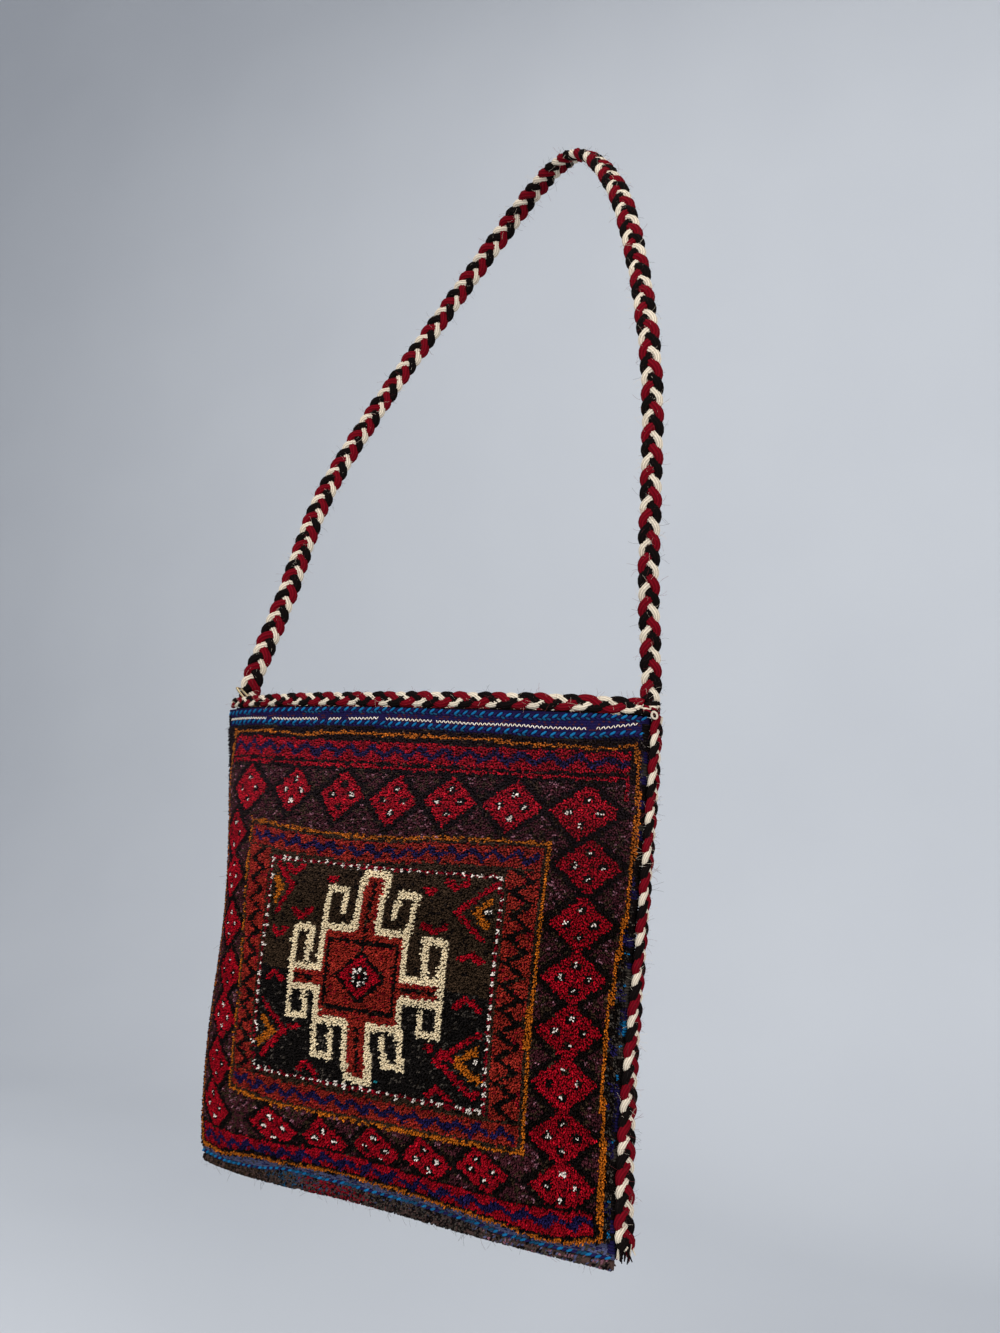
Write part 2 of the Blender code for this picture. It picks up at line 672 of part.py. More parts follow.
def build():
    clear_scene()
    rug = finish("rug_pile", (0.16, 0.03, 0.03), 0.95)
    flat_weave = finish("back_weave", (0.20, 0.06, 0.05), 0.95)
    plait = finish("plait_wool", (0.35, 0.05, 0.06), 0.9)
    strap_wool = finish("strap_wool", (0.33, 0.05, 0.06), 0.9)
    side_wool = finish("side_plait_wool", (0.30, 0.06, 0.07), 0.9)
    binding = finish("binding_yarn", (0.03, 0.05, 0.12), 0.9)
    cream = finish("knot_yarn", (0.70, 0.62, 0.50), 0.9)
    hem_cloth = finish("hem_cloth", (0.12, 0.08, 0.07), 0.95)
    tape = finish("zip_tape_cotton", (0.05, 0.04, 0.04), 0.85)
    brass = finish("zip_brass", (0.55, 0.42, 0.20), 0.35, 1.0)
    ring_brass = finish("ring_brass", (0.62, 0.50, 0.28), 0.25, 1.0)

    make_panel("front_panel", -1, FRONT_COLUMNS, rug)
    make_panel("back_panel", 1, BACK_COLUMNS, flat_weave)
    make_rim_plait("rim_plait_front", -1, plait)
    make_rim_plait("rim_plait_back", 1, plait)
    for name, edge in (("right", 1), ("left", 0)):
        make_side_binding(f"side_binding_{name}", edge, binding)
        end, wide = make_side_plait(f"side_plait_{name}", edge, side_wool)
        make_tail(f"plait_tail_{name}", end, wide, side_wool)
        make_knot(f"corner_knot_{name}", edge, cream)
    make_hem(hem_cloth)
    path, length = strap_line()
    make_strap(path, strap_wool)
    for name, side in (("front", -1), ("back", 1)):
        make_tape(f"zip_tape_{name}", side, tape)
        make_teeth(f"zip_teeth_{name}", side, brass)
    make_stops(brass)
    slider_x = ZIP_LEFT_END + SLIDER_START_INSET + SLIDER_LENGTH / 2
    centre = np.array([slider_x, 0.0, TAPE_CENTRE_Z])
    slider = make_slider(centre, brass)
    make_pull_ring(centre, slider, ring_brass)

    # The frame's origin is where the strap rests on whatever carries it
    highest = max(path, key=lambda point: point[2])
    rest = Vector(highest) - Vector((0, 0, STRAP_THICKNESS / 2))
    for piece in bpy.data.objects:
        if piece.parent is None:
            piece.location -= rest
    travel = ZIP_RIGHT_END - SLIDER_END_INSET - slider_x
    print("mouth middle in the part's frame", np.round(-np.array(rest), 5))
    print("strap length", round(length, 4), "slider travel", round(travel, 4))
    print("ring pivot", np.round(ring_pivot(centre) - np.array(rest), 5),
          "slider centre", np.round(centre - np.array(rest), 5))


build()
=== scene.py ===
# %% [markdown]
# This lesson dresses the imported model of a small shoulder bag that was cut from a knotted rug. The packed
# model is a frame of plain solids with joints. Each cell below makes one soft piece over that frame, in the
# same metres and the same place, and says which moving body it rides on.

# %% Load the frame
import math
from functools import partial

import bpy
import numpy as np
from mathutils import Matrix, Vector


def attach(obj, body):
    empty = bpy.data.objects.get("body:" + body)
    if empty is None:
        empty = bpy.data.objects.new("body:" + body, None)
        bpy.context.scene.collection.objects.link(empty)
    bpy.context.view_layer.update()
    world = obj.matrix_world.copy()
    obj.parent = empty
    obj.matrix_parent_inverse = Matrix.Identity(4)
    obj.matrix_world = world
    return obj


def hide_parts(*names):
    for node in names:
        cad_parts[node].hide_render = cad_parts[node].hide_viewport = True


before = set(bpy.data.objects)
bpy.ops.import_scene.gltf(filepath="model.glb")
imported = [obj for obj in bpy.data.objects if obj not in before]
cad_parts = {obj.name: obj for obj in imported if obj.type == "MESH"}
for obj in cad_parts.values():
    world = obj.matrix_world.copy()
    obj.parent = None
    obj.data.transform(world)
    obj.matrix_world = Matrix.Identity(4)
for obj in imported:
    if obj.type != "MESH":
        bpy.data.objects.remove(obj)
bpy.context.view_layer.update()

MOUTH = np.array((-0.06195, -0.03203, -0.4415))    # middle of the bag's mouth, in the frame
MM = 0.001

# %% [markdown]
# The camera comes first, because the long strap is checked against what it sees. It stands to the right of
# the bag, a little below the mouth, and looks up by nine degrees. The angles were fitted to the corners of
# the bag's face.

# %% Camera
CAMERA_PLACE = MOUTH + np.array((0.43945, -0.73372, -0.09627))
CAMERA_YAW = math.radians(27.33)
CAMERA_PITCH = math.radians(9.05)
CAMERA_ROLL = math.radians(4.506)
CAMERA_LENS = 31.573
SENSOR_WIDTH = 36.0
NEAREST_SEEN = 0.02


def make_camera():
    ahead = np.array((-math.sin(CAMERA_YAW) * math.cos(CAMERA_PITCH),
                      math.cos(CAMERA_YAW) * math.cos(CAMERA_PITCH), math.sin(CAMERA_PITCH)))
    level = np.array((math.cos(CAMERA_YAW), math.sin(CAMERA_YAW), 0.0))
    above = np.cross(level, ahead)
    right = level * math.cos(CAMERA_ROLL) + above * math.sin(CAMERA_ROLL)
    up = above * math.cos(CAMERA_ROLL) - level * math.sin(CAMERA_ROLL)
    data = bpy.data.cameras.new("photo_camera")
    data.lens = CAMERA_LENS
    data.sensor_width = SENSOR_WIDTH
    data.clip_start = NEAREST_SEEN
    camera = bpy.data.objects.new("photo_camera", data)
    turned = Matrix([[*axis, 0.0] for axis in zip(right, up, -ahead)] + [[0.0, 0.0, 0.0, 1.0]])
    camera.matrix_world = Matrix.Translation(Vector(CAMERA_PLACE)) @ turned
    bpy.context.scene.collection.objects.link(camera)
    bpy.context.scene.camera = camera


make_camera()
print("camera at", np.round(CAMERA_PLACE, 3))

# %% [markdown]
# Dyed wool has few colours, and every piece of the bag draws on the same skeins. So the colours are named
# once, as the eye reads them on a screen, and turned into the linear values that a shader works with.

# %% Skeins of yarn
def dye(red, green, blue):
    """Linear colour of a screen colour given as 0 to 255."""
    parts = [value / 255 for value in (red, green, blue)]
    return tuple(p / 12.92 if p < 0.04045 else ((p + 0.055) / 1.055) ** 2.4 for p in parts) + (1.0,)


YARNS = {name: dye(*screen) for name, screen in {
    "crimson": (142, 9, 24), "deep red": (108, 9, 22), "brick": (130, 35, 26), "brown": (50, 37, 26),
    "black": (17, 12, 11), "coal": (20, 17, 16), "plum": (64, 28, 34), "gold": (164, 87, 20),
    "cream": (228, 208, 170), "ivory": (222, 207, 184), "white": (226, 214, 202), "dusty rose": (120, 78, 88),
    "navy": (27, 22, 60), "blue": (18, 94, 138), "teal": (20, 62, 88), "turquoise": (30, 128, 138),
    "slate": (74, 76, 104), "grey": (60, 54, 48), "hem brown": (70, 53, 48),
}.items()}
YARN_NAMES = list(YARNS)
YARN_COLOURS = np.array(list(YARNS.values()))


def yarn(name):
    return YARN_NAMES.index(name)


print(len(YARNS), "yarn colours")

# %% [markdown]
# The bag's cloth is a cushion-like shell whose side seams wander, because wool that hangs by two corners
# sags. The same smooth curves that shape the solids are repeated here, as functions that take whole arrays
# of places. Every piece that lies on the cloth asks them where it is and which way is out.

# %% Shape of the cloth
HALF_WIDTH = 0.353 / 2
WOVEN_HEIGHT = 0.339
CLOTH = 0.0025
PILE = 0.0032
SEAM_HALF_GAP = 0.0016
SECTION_POWER = 4.0
BACK_TURN_WIDTH = 0.120
HEIGHT_SHARES = np.array((0.0, 0.15, 0.45, 0.75, 0.92, 1.0))
LEFT_SEAM_X = -HALF_WIDTH - np.array((0.0010, -0.0020, 0.0045, 0.0055, 0.0005, -0.0045))
RIGHT_SEAM_X = HALF_WIDTH + np.array((-0.0010, -0.0015, -0.0040, -0.0060, -0.0050, -0.0030))
LEFT_SEAM_BACK = np.array((0.0, 0.008, 0.030, 0.028, 0.024, 0.021))
FRONT_STAND = np.array((0.026, 0.030, 0.033, 0.030, 0.018, 0.003))
BACK_STAND = np.array((0.022, 0.022, 0.022, 0.020, 0.012, 0.0015))
SLOPE_STEP = 0.002


def smooth(place, shares, values):
    """Smooth curve through the values at the shares, for an array of places."""
    shares, values = np.asarray(shares, float), np.asarray(values, float)
    before = np.maximum(np.arange(len(shares)) - 1, 0)
    after = np.minimum(np.arange(len(shares)) + 1, len(shares) - 1)
    slopes = (values[after] - values[before]) / (shares[after] - shares[before])
    i = np.clip(np.searchsorted(shares, place, side="right") - 1, 0, len(shares) - 2)
    span = shares[i + 1] - shares[i]
    u = np.clip((place - shares[i]) / span, 0.0, 1.0)
    rise = u * u * (3 - 2 * u)
    return (values[i] * (1 - rise) + values[i + 1] * rise
            + span * slopes[i] * u * (1 - u) ** 2 - span * slopes[i + 1] * u * u * (1 - u))


def cloth_points(side, across, down):
    """Middle surface of the cloth: side -1 front, 1 back; across 0 to 1; down 0 to 1."""
    across, down = np.broadcast_arrays(np.asarray(across, float), np.asarray(down, float))
    left = smooth(down, HEIGHT_SHARES, LEFT_SEAM_X)
    x = left + across * (smooth(down, HEIGHT_SHARES, RIGHT_SEAM_X) - left)
    stand = smooth(down, HEIGHT_SHARES, FRONT_STAND if side < 0 else BACK_STAND)
    bend = np.maximum(0.0, 1 - (x - left) / BACK_TURN_WIDTH) ** 2
    y = side * (SEAM_HALF_GAP + stand * (1 - np.abs(2 * across - 1) ** SECTION_POWER))
    y = y + smooth(down, HEIGHT_SHARES, LEFT_SEAM_BACK) * bend
    return np.stack([x, y, -down * WOVEN_HEIGHT], axis=-1)


def unit(vectors):
    return vectors / np.linalg.norm(vectors, axis=-1, keepdims=True)


def cloth_frame(side, across, down):
    """Outward normal, direction to the right and direction down, at places of the cloth."""
    across, down = np.broadcast_arrays(np.asarray(across, float), np.asarray(down, float))
    along = unit(cloth_points(side, np.minimum(across + SLOPE_STEP, 1), down)
                 - cloth_points(side, np.maximum(across - SLOPE_STEP, 0), down))
    fall = unit(cloth_points(side, across, np.minimum(down + SLOPE_STEP, 1))
                - cloth_points(side, across, np.maximum(down - SLOPE_STEP, 0)))
    return unit(np.cross(along, fall) * side), along, fall


def lifted(side, across, down, lift):
    """Places above the middle surface, in the frame's own coordinates."""
    normal, _, _ = cloth_frame(side, across, down)
    lift = np.broadcast_to(lift, np.shape(down))[..., None]
    return MOUTH + cloth_points(side, across, down) + normal * lift


def arc_lengths(line):
    """Length along a line of points, from its start to each of them."""
    return np.concatenate([[0], np.cumsum(np.linalg.norm(np.diff(line, axis=0), axis=1))])


def arc_table(side, down, lift, count=241):
    """Shares across, and the length over the cloth from the left seam to each of them."""
    across = np.linspace(0, 1, count)
    return across, arc_lengths(lifted(side, across, np.full(count, down), lift))


print("length over the face from seam to seam", round(float(arc_table(-1, 0.2, CLOTH / 2 + PILE)[1][-1]), 4))

# %% [markdown]
# Geometry Nodes repeat small shapes. A few helpers keep the trees short: they start a tree with named
# inputs, add a node and link it, store a value on every vertex, and run a tree on an object and keep the
# result as a plain mesh, because the finished model has no live instances.

# %% Helpers for node trees
ATTRIBUTE_FIELDS = {"FLOAT": "value", "FLOAT_VECTOR": "vector", "FLOAT_COLOR": "color"}


def add_node(tree, kind, links=None, **settings):
    """A node of this kind; links gives each input a socket to follow or a value."""
    node = tree.nodes.new(kind)
    for name, value in settings.items():
        setattr(node, name, value)
    for name, source in (links or {}).items():
        if isinstance(source, bpy.types.NodeSocket):
            tree.links.new(source, node.inputs[name])
        else:
            node.inputs[name].default_value = source
    return node


def start_tree(name, sockets):
    tree = bpy.data.node_groups.new(name, "GeometryNodeTree")
    for label, kind in (("Geometry", "Geometry"), *sockets):
        tree.interface.new_socket(label, in_out="INPUT", socket_type="NodeSocket" + kind)
    tree.interface.new_socket("Geometry", in_out="OUTPUT", socket_type="NodeSocketGeometry")
    return tree, tree.nodes.new("NodeGroupInput").outputs


def end_tree(tree, geometry, material):
    """Ends a tree with a smooth mesh in its material."""
    geometry = add_node(tree, "GeometryNodeSetShadeSmooth", {0: geometry}).outputs[0]
    geometry = add_node(tree, "GeometryNodeSetMaterial",
                        {"Geometry": geometry, "Material": material}).outputs[0]
    add_node(tree, "NodeGroupOutput", {"Geometry": geometry})
    return tree


def math_node(tree, operation, *values):
    return add_node(tree, "ShaderNodeMath", dict(enumerate(values)), operation=operation).outputs[0]


def named_value(tree, label, kind="FLOAT"):
    """An attribute of the points, read by its name."""
    node = add_node(tree, "GeometryNodeInputNamedAttribute", {"Name": label}, data_type=kind)
    return node.outputs["Attribute"]


def plain_mesh(name, points, edges=(), faces=()):
    mesh = bpy.data.meshes.new(name)
    mesh.from_pydata(np.asarray(points, float).tolist(), [list(e) for e in edges], [list(f) for f in faces])
    thing = bpy.data.objects.new(name, mesh)
    bpy.context.scene.collection.objects.link(thing)
    return thing


def store(thing, name, kind, values):
    """An attribute on every vertex, for a tree or a material to read."""
    attribute = thing.data.attributes.new(name, kind, "POINT")
    values = np.ascontiguousarray(values, dtype=np.float32).ravel()
    attribute.data.foreach_set(ATTRIBUTE_FIELDS[kind], values)


def run_tree(thing, tree, values, drop):
    """Runs a tree once, keeps the result as a plain mesh and takes the modifier off."""
    modifier = thing.modifiers.new("nodes", "NODES")
    modifier.node_group = tree
    for item in tree.interface.items_tree:
        if item.in_out == "INPUT" and item.name in values:
            modifier[item.identifier] = values[item.name]
    graph = bpy.context.evaluated_depsgraph_get()
    mesh = bpy.data.meshes.new_from_object(thing.evaluated_get(graph), preserve_all_data_layers=True,
                                           depsgraph=graph)
    thing.modifiers.remove(modifier)
    thing.data = mesh
    for name in drop:
        if name in mesh.attributes:
            mesh.attributes.remove(mesh.attributes[name])
    return thing


def triangles(thing):
    return sum(len(face.vertices) - 2 for face in thing.data.polygons)


print("helpers ready")

# %% [markdown]
# Wool is never one flat colour. Its fibres catch the light differently, its dye took unevenly, and shade is
# painted darker into the hollows between strands. One shader group holds that effect, and each wool material
# places it with its own numbers. The base colour is an attribute, so one material serves every dyed yarn.

# %% Wool
DYE_PATCHES = 60.0             # patches of uneven dye in a metre
FIBRE_CONTRAST = 3.0
PATCH_CONTRAST = 1.6
DARKEST_SHADE = 0.05
ROUGHNESS_LEAST = 0.82
ROUGHNESS_SWING = 0.12
WOOL_SPECULAR = 0.03


def shader_group(name, inputs, outputs):
    group = bpy.data.node_groups.new(name, "ShaderNodeTree")
    for label, kind, value in inputs:
        socket = group.interface.new_socket(label, in_out="INPUT", socket_type="NodeSocket" + kind)
        socket.default_value = value
    for label, kind in outputs:
        group.interface.new_socket(label, in_out="OUTPUT", socket_type="NodeSocket" + kind)
    return group, group.nodes.new("NodeGroupInput").outputs


def make_fibre_group():
    """Uneven dye, fine fibres and painted shade in the hollows, for any wool."""
    group, given = shader_group(
        "wool fibres",
        (("Colour", "Color", (0.5, 0.5, 0.5, 1.0)), ("Hollow", "Float", 1.0), ("Hollow Shade Depth", "Float", 0.5),
         ("Fibre Size", "Float", 900.0), ("Dye Spread", "Float", 0.25)),
        (("Colour", "Color"), ("Height", "Float"), ("Roughness", "Float")))
    calc = partial(math_node, group)
    place = add_node(group, "ShaderNodeTexCoord").outputs["Object"]
    fibre = add_node(group, "ShaderNodeTexNoise", {"Vector": place, "Scale": given["Fibre Size"],
                                                   "Detail": 3.0, "Roughness": 0.65}).outputs[0]
    patch = add_node(group, "ShaderNodeTexNoise", {"Vector": place, "Scale": DYE_PATCHES,
                                                   "Detail": 2.0}).outputs[0]
    spread = calc("MULTIPLY", calc("SUBTRACT", fibre, 0.5), given["Dye Spread"])
    drift = calc("MULTIPLY", calc("SUBTRACT", patch, 0.5), given["Dye Spread"])
    light = calc("ADD", calc("MULTIPLY", spread, FIBRE_CONTRAST),
                 calc("ADD", calc("MULTIPLY", drift, PATCH_CONTRAST), 1.0))
    # Painted shade: where the hollow value is low, the colour is made darker, by up to the hollow depth.
    floor = calc("SUBTRACT", 1.0, given["Hollow Shade Depth"])
    shade = calc("ADD", floor, calc("MULTIPLY", given["Hollow"], given["Hollow Shade Depth"]))
    factor = calc("MAXIMUM", calc("MULTIPLY", light, shade), DARKEST_SHADE)
    scaled = add_node(group, "ShaderNodeVectorMath", {0: given["Colour"], "Scale": factor}, operation="SCALE")
    roughness = calc("ADD", calc("MULTIPLY", fibre, ROUGHNESS_SWING), ROUGHNESS_LEAST)
    add_node(group, "NodeGroupOutput", {"Colour": scaled.outputs[0], "Height": fibre, "Roughness": roughness})
    return group


FIBRES = make_fibre_group()


def start_material(name):
    material = bpy.data.materials.new(name)
    material.use_nodes = True
    tree = material.node_tree
    return material, tree, tree.nodes["Principled BSDF"]


def feed(tree, node, links):
    """Links each named input of a node to a socket."""
    for name, source in links.items():
        tree.links.new(source, node.inputs[name])


def attribute(tree, name, output):
    return add_node(tree, "ShaderNodeAttribute", attribute_name=name).outputs[output]


def dress_in_wool(tree, shader, fibres, height, strength, distance):
    """Links a fibre group to a shader, with a relief from this height."""
    relief = add_node(tree, "ShaderNodeBump", {"Strength": strength, "Distance": distance, "Height": height})
    feed(tree, shader, {"Base Color": fibres.outputs["Colour"], "Roughness": fibres.outputs["Roughness"],
                        "Normal": relief.outputs["Normal"]})
    shader.inputs["Specular IOR Level"].default_value = WOOL_SPECULAR


def wool_material(name, hollow=None, hollow_shade_depth=0.5, fibre_size=900.0, dye_spread=0.25, bump=0.3):
    """Wool that reads its colour from the yarn attribute, and where its hollows get painted shade from another.
    """
    material, tree, shader = start_material(name)
    fibres = add_node(tree, "ShaderNodeGroup", node_tree=FIBRES)
    feed(tree, fibres, {"Colour": attribute(tree, "yarn", "Color")})
    if hollow:
        feed(tree, fibres, {"Hollow": attribute(tree, hollow, "Fac")})
    fibres.inputs["Hollow Shade Depth"].default_value = hollow_shade_depth
    fibres.inputs["Fibre Size"].default_value = fibre_size
    fibres.inputs["Dye Spread"].default_value = dye_spread
    dress_in_wool(tree, shader, fibres, fibres.outputs["Height"], bump, 0.0004)
    return material


# Painted shade: the grooves between the yarns of a strand are made darker, by up to half, from the ply value.
plait_wool = wool_material("plaited_wool", "ply", 0.50, 800.0, 0.22, 0.5)
fuzz_wool = wool_material("wool_fuzz", dye_spread=0.2, bump=0.0)
stitch_wool = wool_material("stitched_wool", fibre_size=1100.0, bump=0.4)
print("wool materials made")

# %% [markdown]
# A plait is three strands that swing from side to side and pass over each other. Each strand is several
# yarns that lie side by side, so its section has lobes. A tree sweeps that lobed section along a line and
# keeps how deep each point lies between two yarns. Sweeping a round tube would lose the yarn lines that
# make wool look like wool.

# %% Tree that sweeps yarn along lines
def make_yarn_tree():
    tree, given = start_tree("yarn along lines", (("Sides", "Int"), ("Lobes", "Int"), ("Groove", "Float"),
                                                  ("Material", "Material")))
    calc = partial(math_node, tree)
    curve = add_node(tree, "GeometryNodeMeshToCurve", {0: given["Geometry"]}).outputs[0]
    curve = add_node(tree, "GeometryNodeSetCurveTilt", {"Curve": curve, "Tilt": named_value(tree, "tilt")})
    ring = add_node(tree, "GeometryNodeCurvePrimitiveCircle", {"Resolution": given["Sides"], "Radius": 1.0})
    around = calc("MULTIPLY", add_node(tree, "GeometryNodeSplineParameter").outputs["Factor"], 2 * math.pi)
    wave = calc("COSINE", calc("MULTIPLY", around, given["Lobes"]))
    # ply is 1 on the crown of a yarn and 0 in the groove between two; the plaited wool paints shade into the
    # grooves from it.
    ply = calc("ADD", calc("MULTIPLY", wave, 0.5), 0.5)
    ring = add_node(tree, "GeometryNodeStoreNamedAttribute",
                    {"Geometry": ring.outputs[0], "Name": "ply", "Value": ply}, data_type="FLOAT")
    swell = calc("SUBTRACT", 1.0, calc("MULTIPLY", given["Groove"], calc("SUBTRACT", 1.0, ply)))
    place = add_node(tree, "GeometryNodeInputPosition").outputs[0]
    lobed = add_node(tree, "ShaderNodeVectorMath", {0: place, "Scale": swell}, operation="SCALE").outputs[0]
    ring = add_node(tree, "GeometryNodeSetPosition", {"Geometry": ring.outputs[0], "Position": lobed})
    mesh = add_node(tree, "GeometryNodeCurveToMesh",
                    {"Curve": curve.outputs[0], "Profile Curve": ring.outputs[0],
                     "Scale": named_value(tree, "radius"), "Fill Caps": True})
    return end_tree(tree, mesh.outputs[0], given["Material"])


YARN_TREE = make_yarn_tree()


def sweep_yarn(name, lines, radii, tilts, colours, material, sides=32, lobes=8, groove=0.15):
    """One mesh of yarns along lines. colours names one yarn for each line, or for each point."""
    starts = np.cumsum([0] + [len(line) for line in lines])
    edges = [(i, i + 1) for first, last in zip(starts, starts[1:]) for i in range(first, last - 1)]
    thing = plain_mesh(name, np.concatenate(lines), edges)
    store(thing, "radius", "FLOAT", np.concatenate(radii))
    store(thing, "tilt", "FLOAT", np.concatenate(tilts))
    chosen = np.concatenate([np.broadcast_to(np.asarray(colour), (len(line),))
                             for colour, line in zip(colours, lines)])
    store(thing, "yarn", "FLOAT_COLOR", YARN_COLOURS[chosen])
    values = {"Sides": sides, "Lobes": lobes, "Groove": groove, "Material": material}
    return run_tree(thing, YARN_TREE, values, drop=("radius", "tilt"))


print("tree for yarn ready")

# %% [markdown]
# The three strands of a plait are the same wave, each a third of a turn on. Across the plait a strand swings
# once for each turn, and through it twice, so that it goes over one neighbour and under the next. Hands pull
# unevenly, so the waves and the strands' sizes wander a little.

# %% Plaits
PLAIT_COLOURS = ("ivory", "deep red", "black")
PLAIT_SHARES = (0.84, 1.06, 1.04)     # how thick each colour's strand is
PLAIT_STEP = 0.0018
YARN_TWIST = 0.30
LEAST_DEPTH = 0.0005
TURN_WANDER = 0.10
STRAND_SQUEEZE = 0.06
STRAND_WANDER = 0.03


def resample(points, step):
    """Points of a line, evenly apart by about this step, and the line's length."""
    lengths = arc_lengths(points)
    wanted = np.linspace(0, lengths[-1], max(3, round(lengths[-1] / step) + 1))
    return np.stack([np.interp(wanted, lengths, points[:, i]) for i in range(3)], axis=1), lengths[-1]


def make_plait(name, path, wide, width, thickness, strand, period, facing, phase):
    """Three strands along a path. facing is 1 where the strands that show spread outwards as the path
    goes on, and -1 where they close in. A width or a period given as a row changes along the path."""
    fine, length = resample(path, PLAIT_STEP)
    share = np.linspace(0, 1, len(fine))
    wide = np.stack([np.interp(share, np.linspace(0, 1, len(path)), wide[:, i]) for i in range(3)], axis=1)
    along = unit(np.gradient(fine, axis=0))
    wide = unit(wide - along * np.sum(wide * along, axis=1, keepdims=True))
    thick = np.cross(along, wide)
    periods = np.interp(share, (0, 1), np.broadcast_to(period, (2,)))
    turn = phase + np.cumsum(np.full(len(fine), length / (len(fine) - 1)) / periods) * 2 * math.pi
    widths = np.interp(share, np.linspace(0, 1, np.size(width)), np.atleast_1d(width))
    grown = widths / np.max(width)
    swing, depth = widths / 2 - strand * grown, max(thickness / 2 - strand, LEAST_DEPTH)
    rng = np.random.default_rng(len(fine))
    lines, radii = [], []
    for k, size in enumerate(PLAIT_SHARES):
        t = turn + k * 2 * math.pi / 3 + TURN_WANDER * np.sin(turn * 0.23 + rng.uniform(0, 6))
        lines.append(fine + wide * (swing * np.sin(t))[:, None]
                     + thick * (facing * depth * np.sin(2 * t))[:, None])
        wander = STRAND_WANDER * np.sin(t * 0.31 + rng.uniform(0, 6))
        radii.append(strand * size * grown * (0.97 + STRAND_SQUEEZE * np.cos(2 * t) + wander))
    colours = [yarn(colour) for colour in PLAIT_COLOURS]
    plait = sweep_yarn(name, lines, radii, [turn * YARN_TWIST] * 3, colours, plait_wool)
    print(name, "length", round(float(length), 4), "triangles", triangles(plait))
    return plait, fine


def dress(piece, slot, *nodes):
    """Lets a piece ride on the bag, in place of these nodes. The slot is not used."""
    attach(piece, "bag")
    if nodes:
        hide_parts(*nodes)
    return piece


print("plaits have", len(PLAIT_COLOURS), "strands")

# %% [markdown]
# The strap is one long plait that rises from the right corner, passes over whatever carries the bag, and
# comes down at the left corner. It is a limp cord with both ends fixed, so its route is a chosen line of
# points with a smooth curve through them.

# %% Strap
KNOT_HEIGHT = 0.0090
GAP = 0.0003
TAPE_THICKNESS = 0.0008
TAPE_TOP = GAP + TAPE_THICKNESS
RIM_BASE = TAPE_TOP + GAP
RIGHT_KNOT = np.array((RIGHT_SEAM_X[0] - 0.0010, 0.0, RIM_BASE))
STRAP_WIDTH = 0.0170
STRAP_WIDTHS = (0.0154, 0.0188)       # the plait widens from its right foot to its left one
STRAP_THICKNESS = 0.0090 + 0.0004     # the solid's thickness and a little fluff
STRAP_STRAND = 0.0038
STRAP_PERIOD = 0.0284
STRAP_PHASE = 0.8
STRAP_ROUTE = [
    (0.1765, -0.022, 0.095), (0.1800, -0.043, 0.203), (0.1695, -0.043, 0.277), (0.1445, -0.027, 0.358),
    (0.1190, -0.010, 0.404), (0.0920, 0.010, 0.434), (0.0620, 0.032, 0.446), (0.0280, 0.053, 0.439),
    (-0.0120, 0.070, 0.412), (-0.0770, 0.084, 0.346), (-0.1230, 0.075, 0.271), (-0.1500, 0.052, 0.190),
    (-0.1565, 0.026, 0.100),
]
STRAP_WIDTH_SHARES = (0.0, 0.33, 0.46, 0.62, 0.85, 1.0)
STRAP_WIDTH_DIRECTIONS = np.array([(0.90, 0.44, 0.0), (1.0, 0.05, 0.0), (0.60, 0.75, 0.0),
                                   (0.88, 0.25, -0.35), (0.85, 0.50, 0.0), (0.87, 0.50, 0.0)])
ROUTE_STEP = 0.004
SIDE_PLAIT_WIDTH = 0.0155
SIDE_PLAIT_THICKNESS = 0.0075
LEFT_PLAIT_SHARE = 0.0095 / 0.353
BINDING = 0.0010


def left_plait_points(down):
    """Middle line and width direction of the left plait, which lies on the back beside the seam."""
    across = np.full(np.shape(down), LEFT_PLAIT_SHARE)
    normal, _, _ = cloth_frame(1, across, down)
    wide = unit(np.stack([normal[..., 1], -normal[..., 0], np.zeros(np.shape(down))], axis=-1))
    lift = CLOTH / 2 + BINDING + 2 * GAP + SIDE_PLAIT_THICKNESS / 2
    return lifted(1, across, down, lift) - MOUTH, wide


LEFT_KNOT = left_plait_points(np.array([0.0]))[0][0] * np.array((1, 1, 0)) + np.array((0, 0, RIM_BASE))


def catmull(points, steps=12):
    """Points of a smooth curve through the given ones."""
    points = [np.array(p, float) for p in points]
    ends = [2 * points[0] - points[1]] + points + [2 * points[-1] - points[-2]]
    line = []
    for p0, p1, p2, p3 in zip(ends, ends[1:], ends[2:], ends[3:]):
        for u in np.arange(steps) / steps:
            line.append(0.5 * (2 * p1 + (p2 - p0) * u + (2 * p0 - 5 * p1 + 4 * p2 - p3) * u**2
                               + (3 * p1 - p0 - 3 * p2 + p3) * u**3))
    return np.array(line + [points[-1]])


def strap_path():
    lift = np.array((0, 0, KNOT_HEIGHT + GAP))
    riser = np.array((0, 0, STRAP_WIDTH))
    right, left = RIGHT_KNOT + lift, LEFT_KNOT + lift
    path, _ = resample(catmull([right, right + riser] + STRAP_ROUTE + [left + riser, left]), ROUTE_STEP)
    share = np.linspace(0, 1, len(path))
    wide = [smooth(share, STRAP_WIDTH_SHARES, STRAP_WIDTH_DIRECTIONS[:, i]) for i in range(3)]
    return path + MOUTH, np.stack(wide, axis=1)


strap_points, strap_wide = strap_path()
strap, strap_line = make_plait("plaited_strap", strap_points, strap_wide, STRAP_WIDTHS, STRAP_THICKNESS,
                               STRAP_STRAND, STRAP_PERIOD, 1, STRAP_PHASE)
dress(strap, "strap_wool", "strap")

# %% [markdown]
# The woven ground is one piece of cloth for each face. It is a closed shell as thick as the weave, with its
# seams in the same places as on the solid. A subdivided sheet with a cloth simulation would sag too, but
# this face is stiff with knots and the photograph shows its one shape, so the shell is lofted straight
# from the curves. Its pattern coordinates are lengths over the cloth, so that the weave keeps its scale.

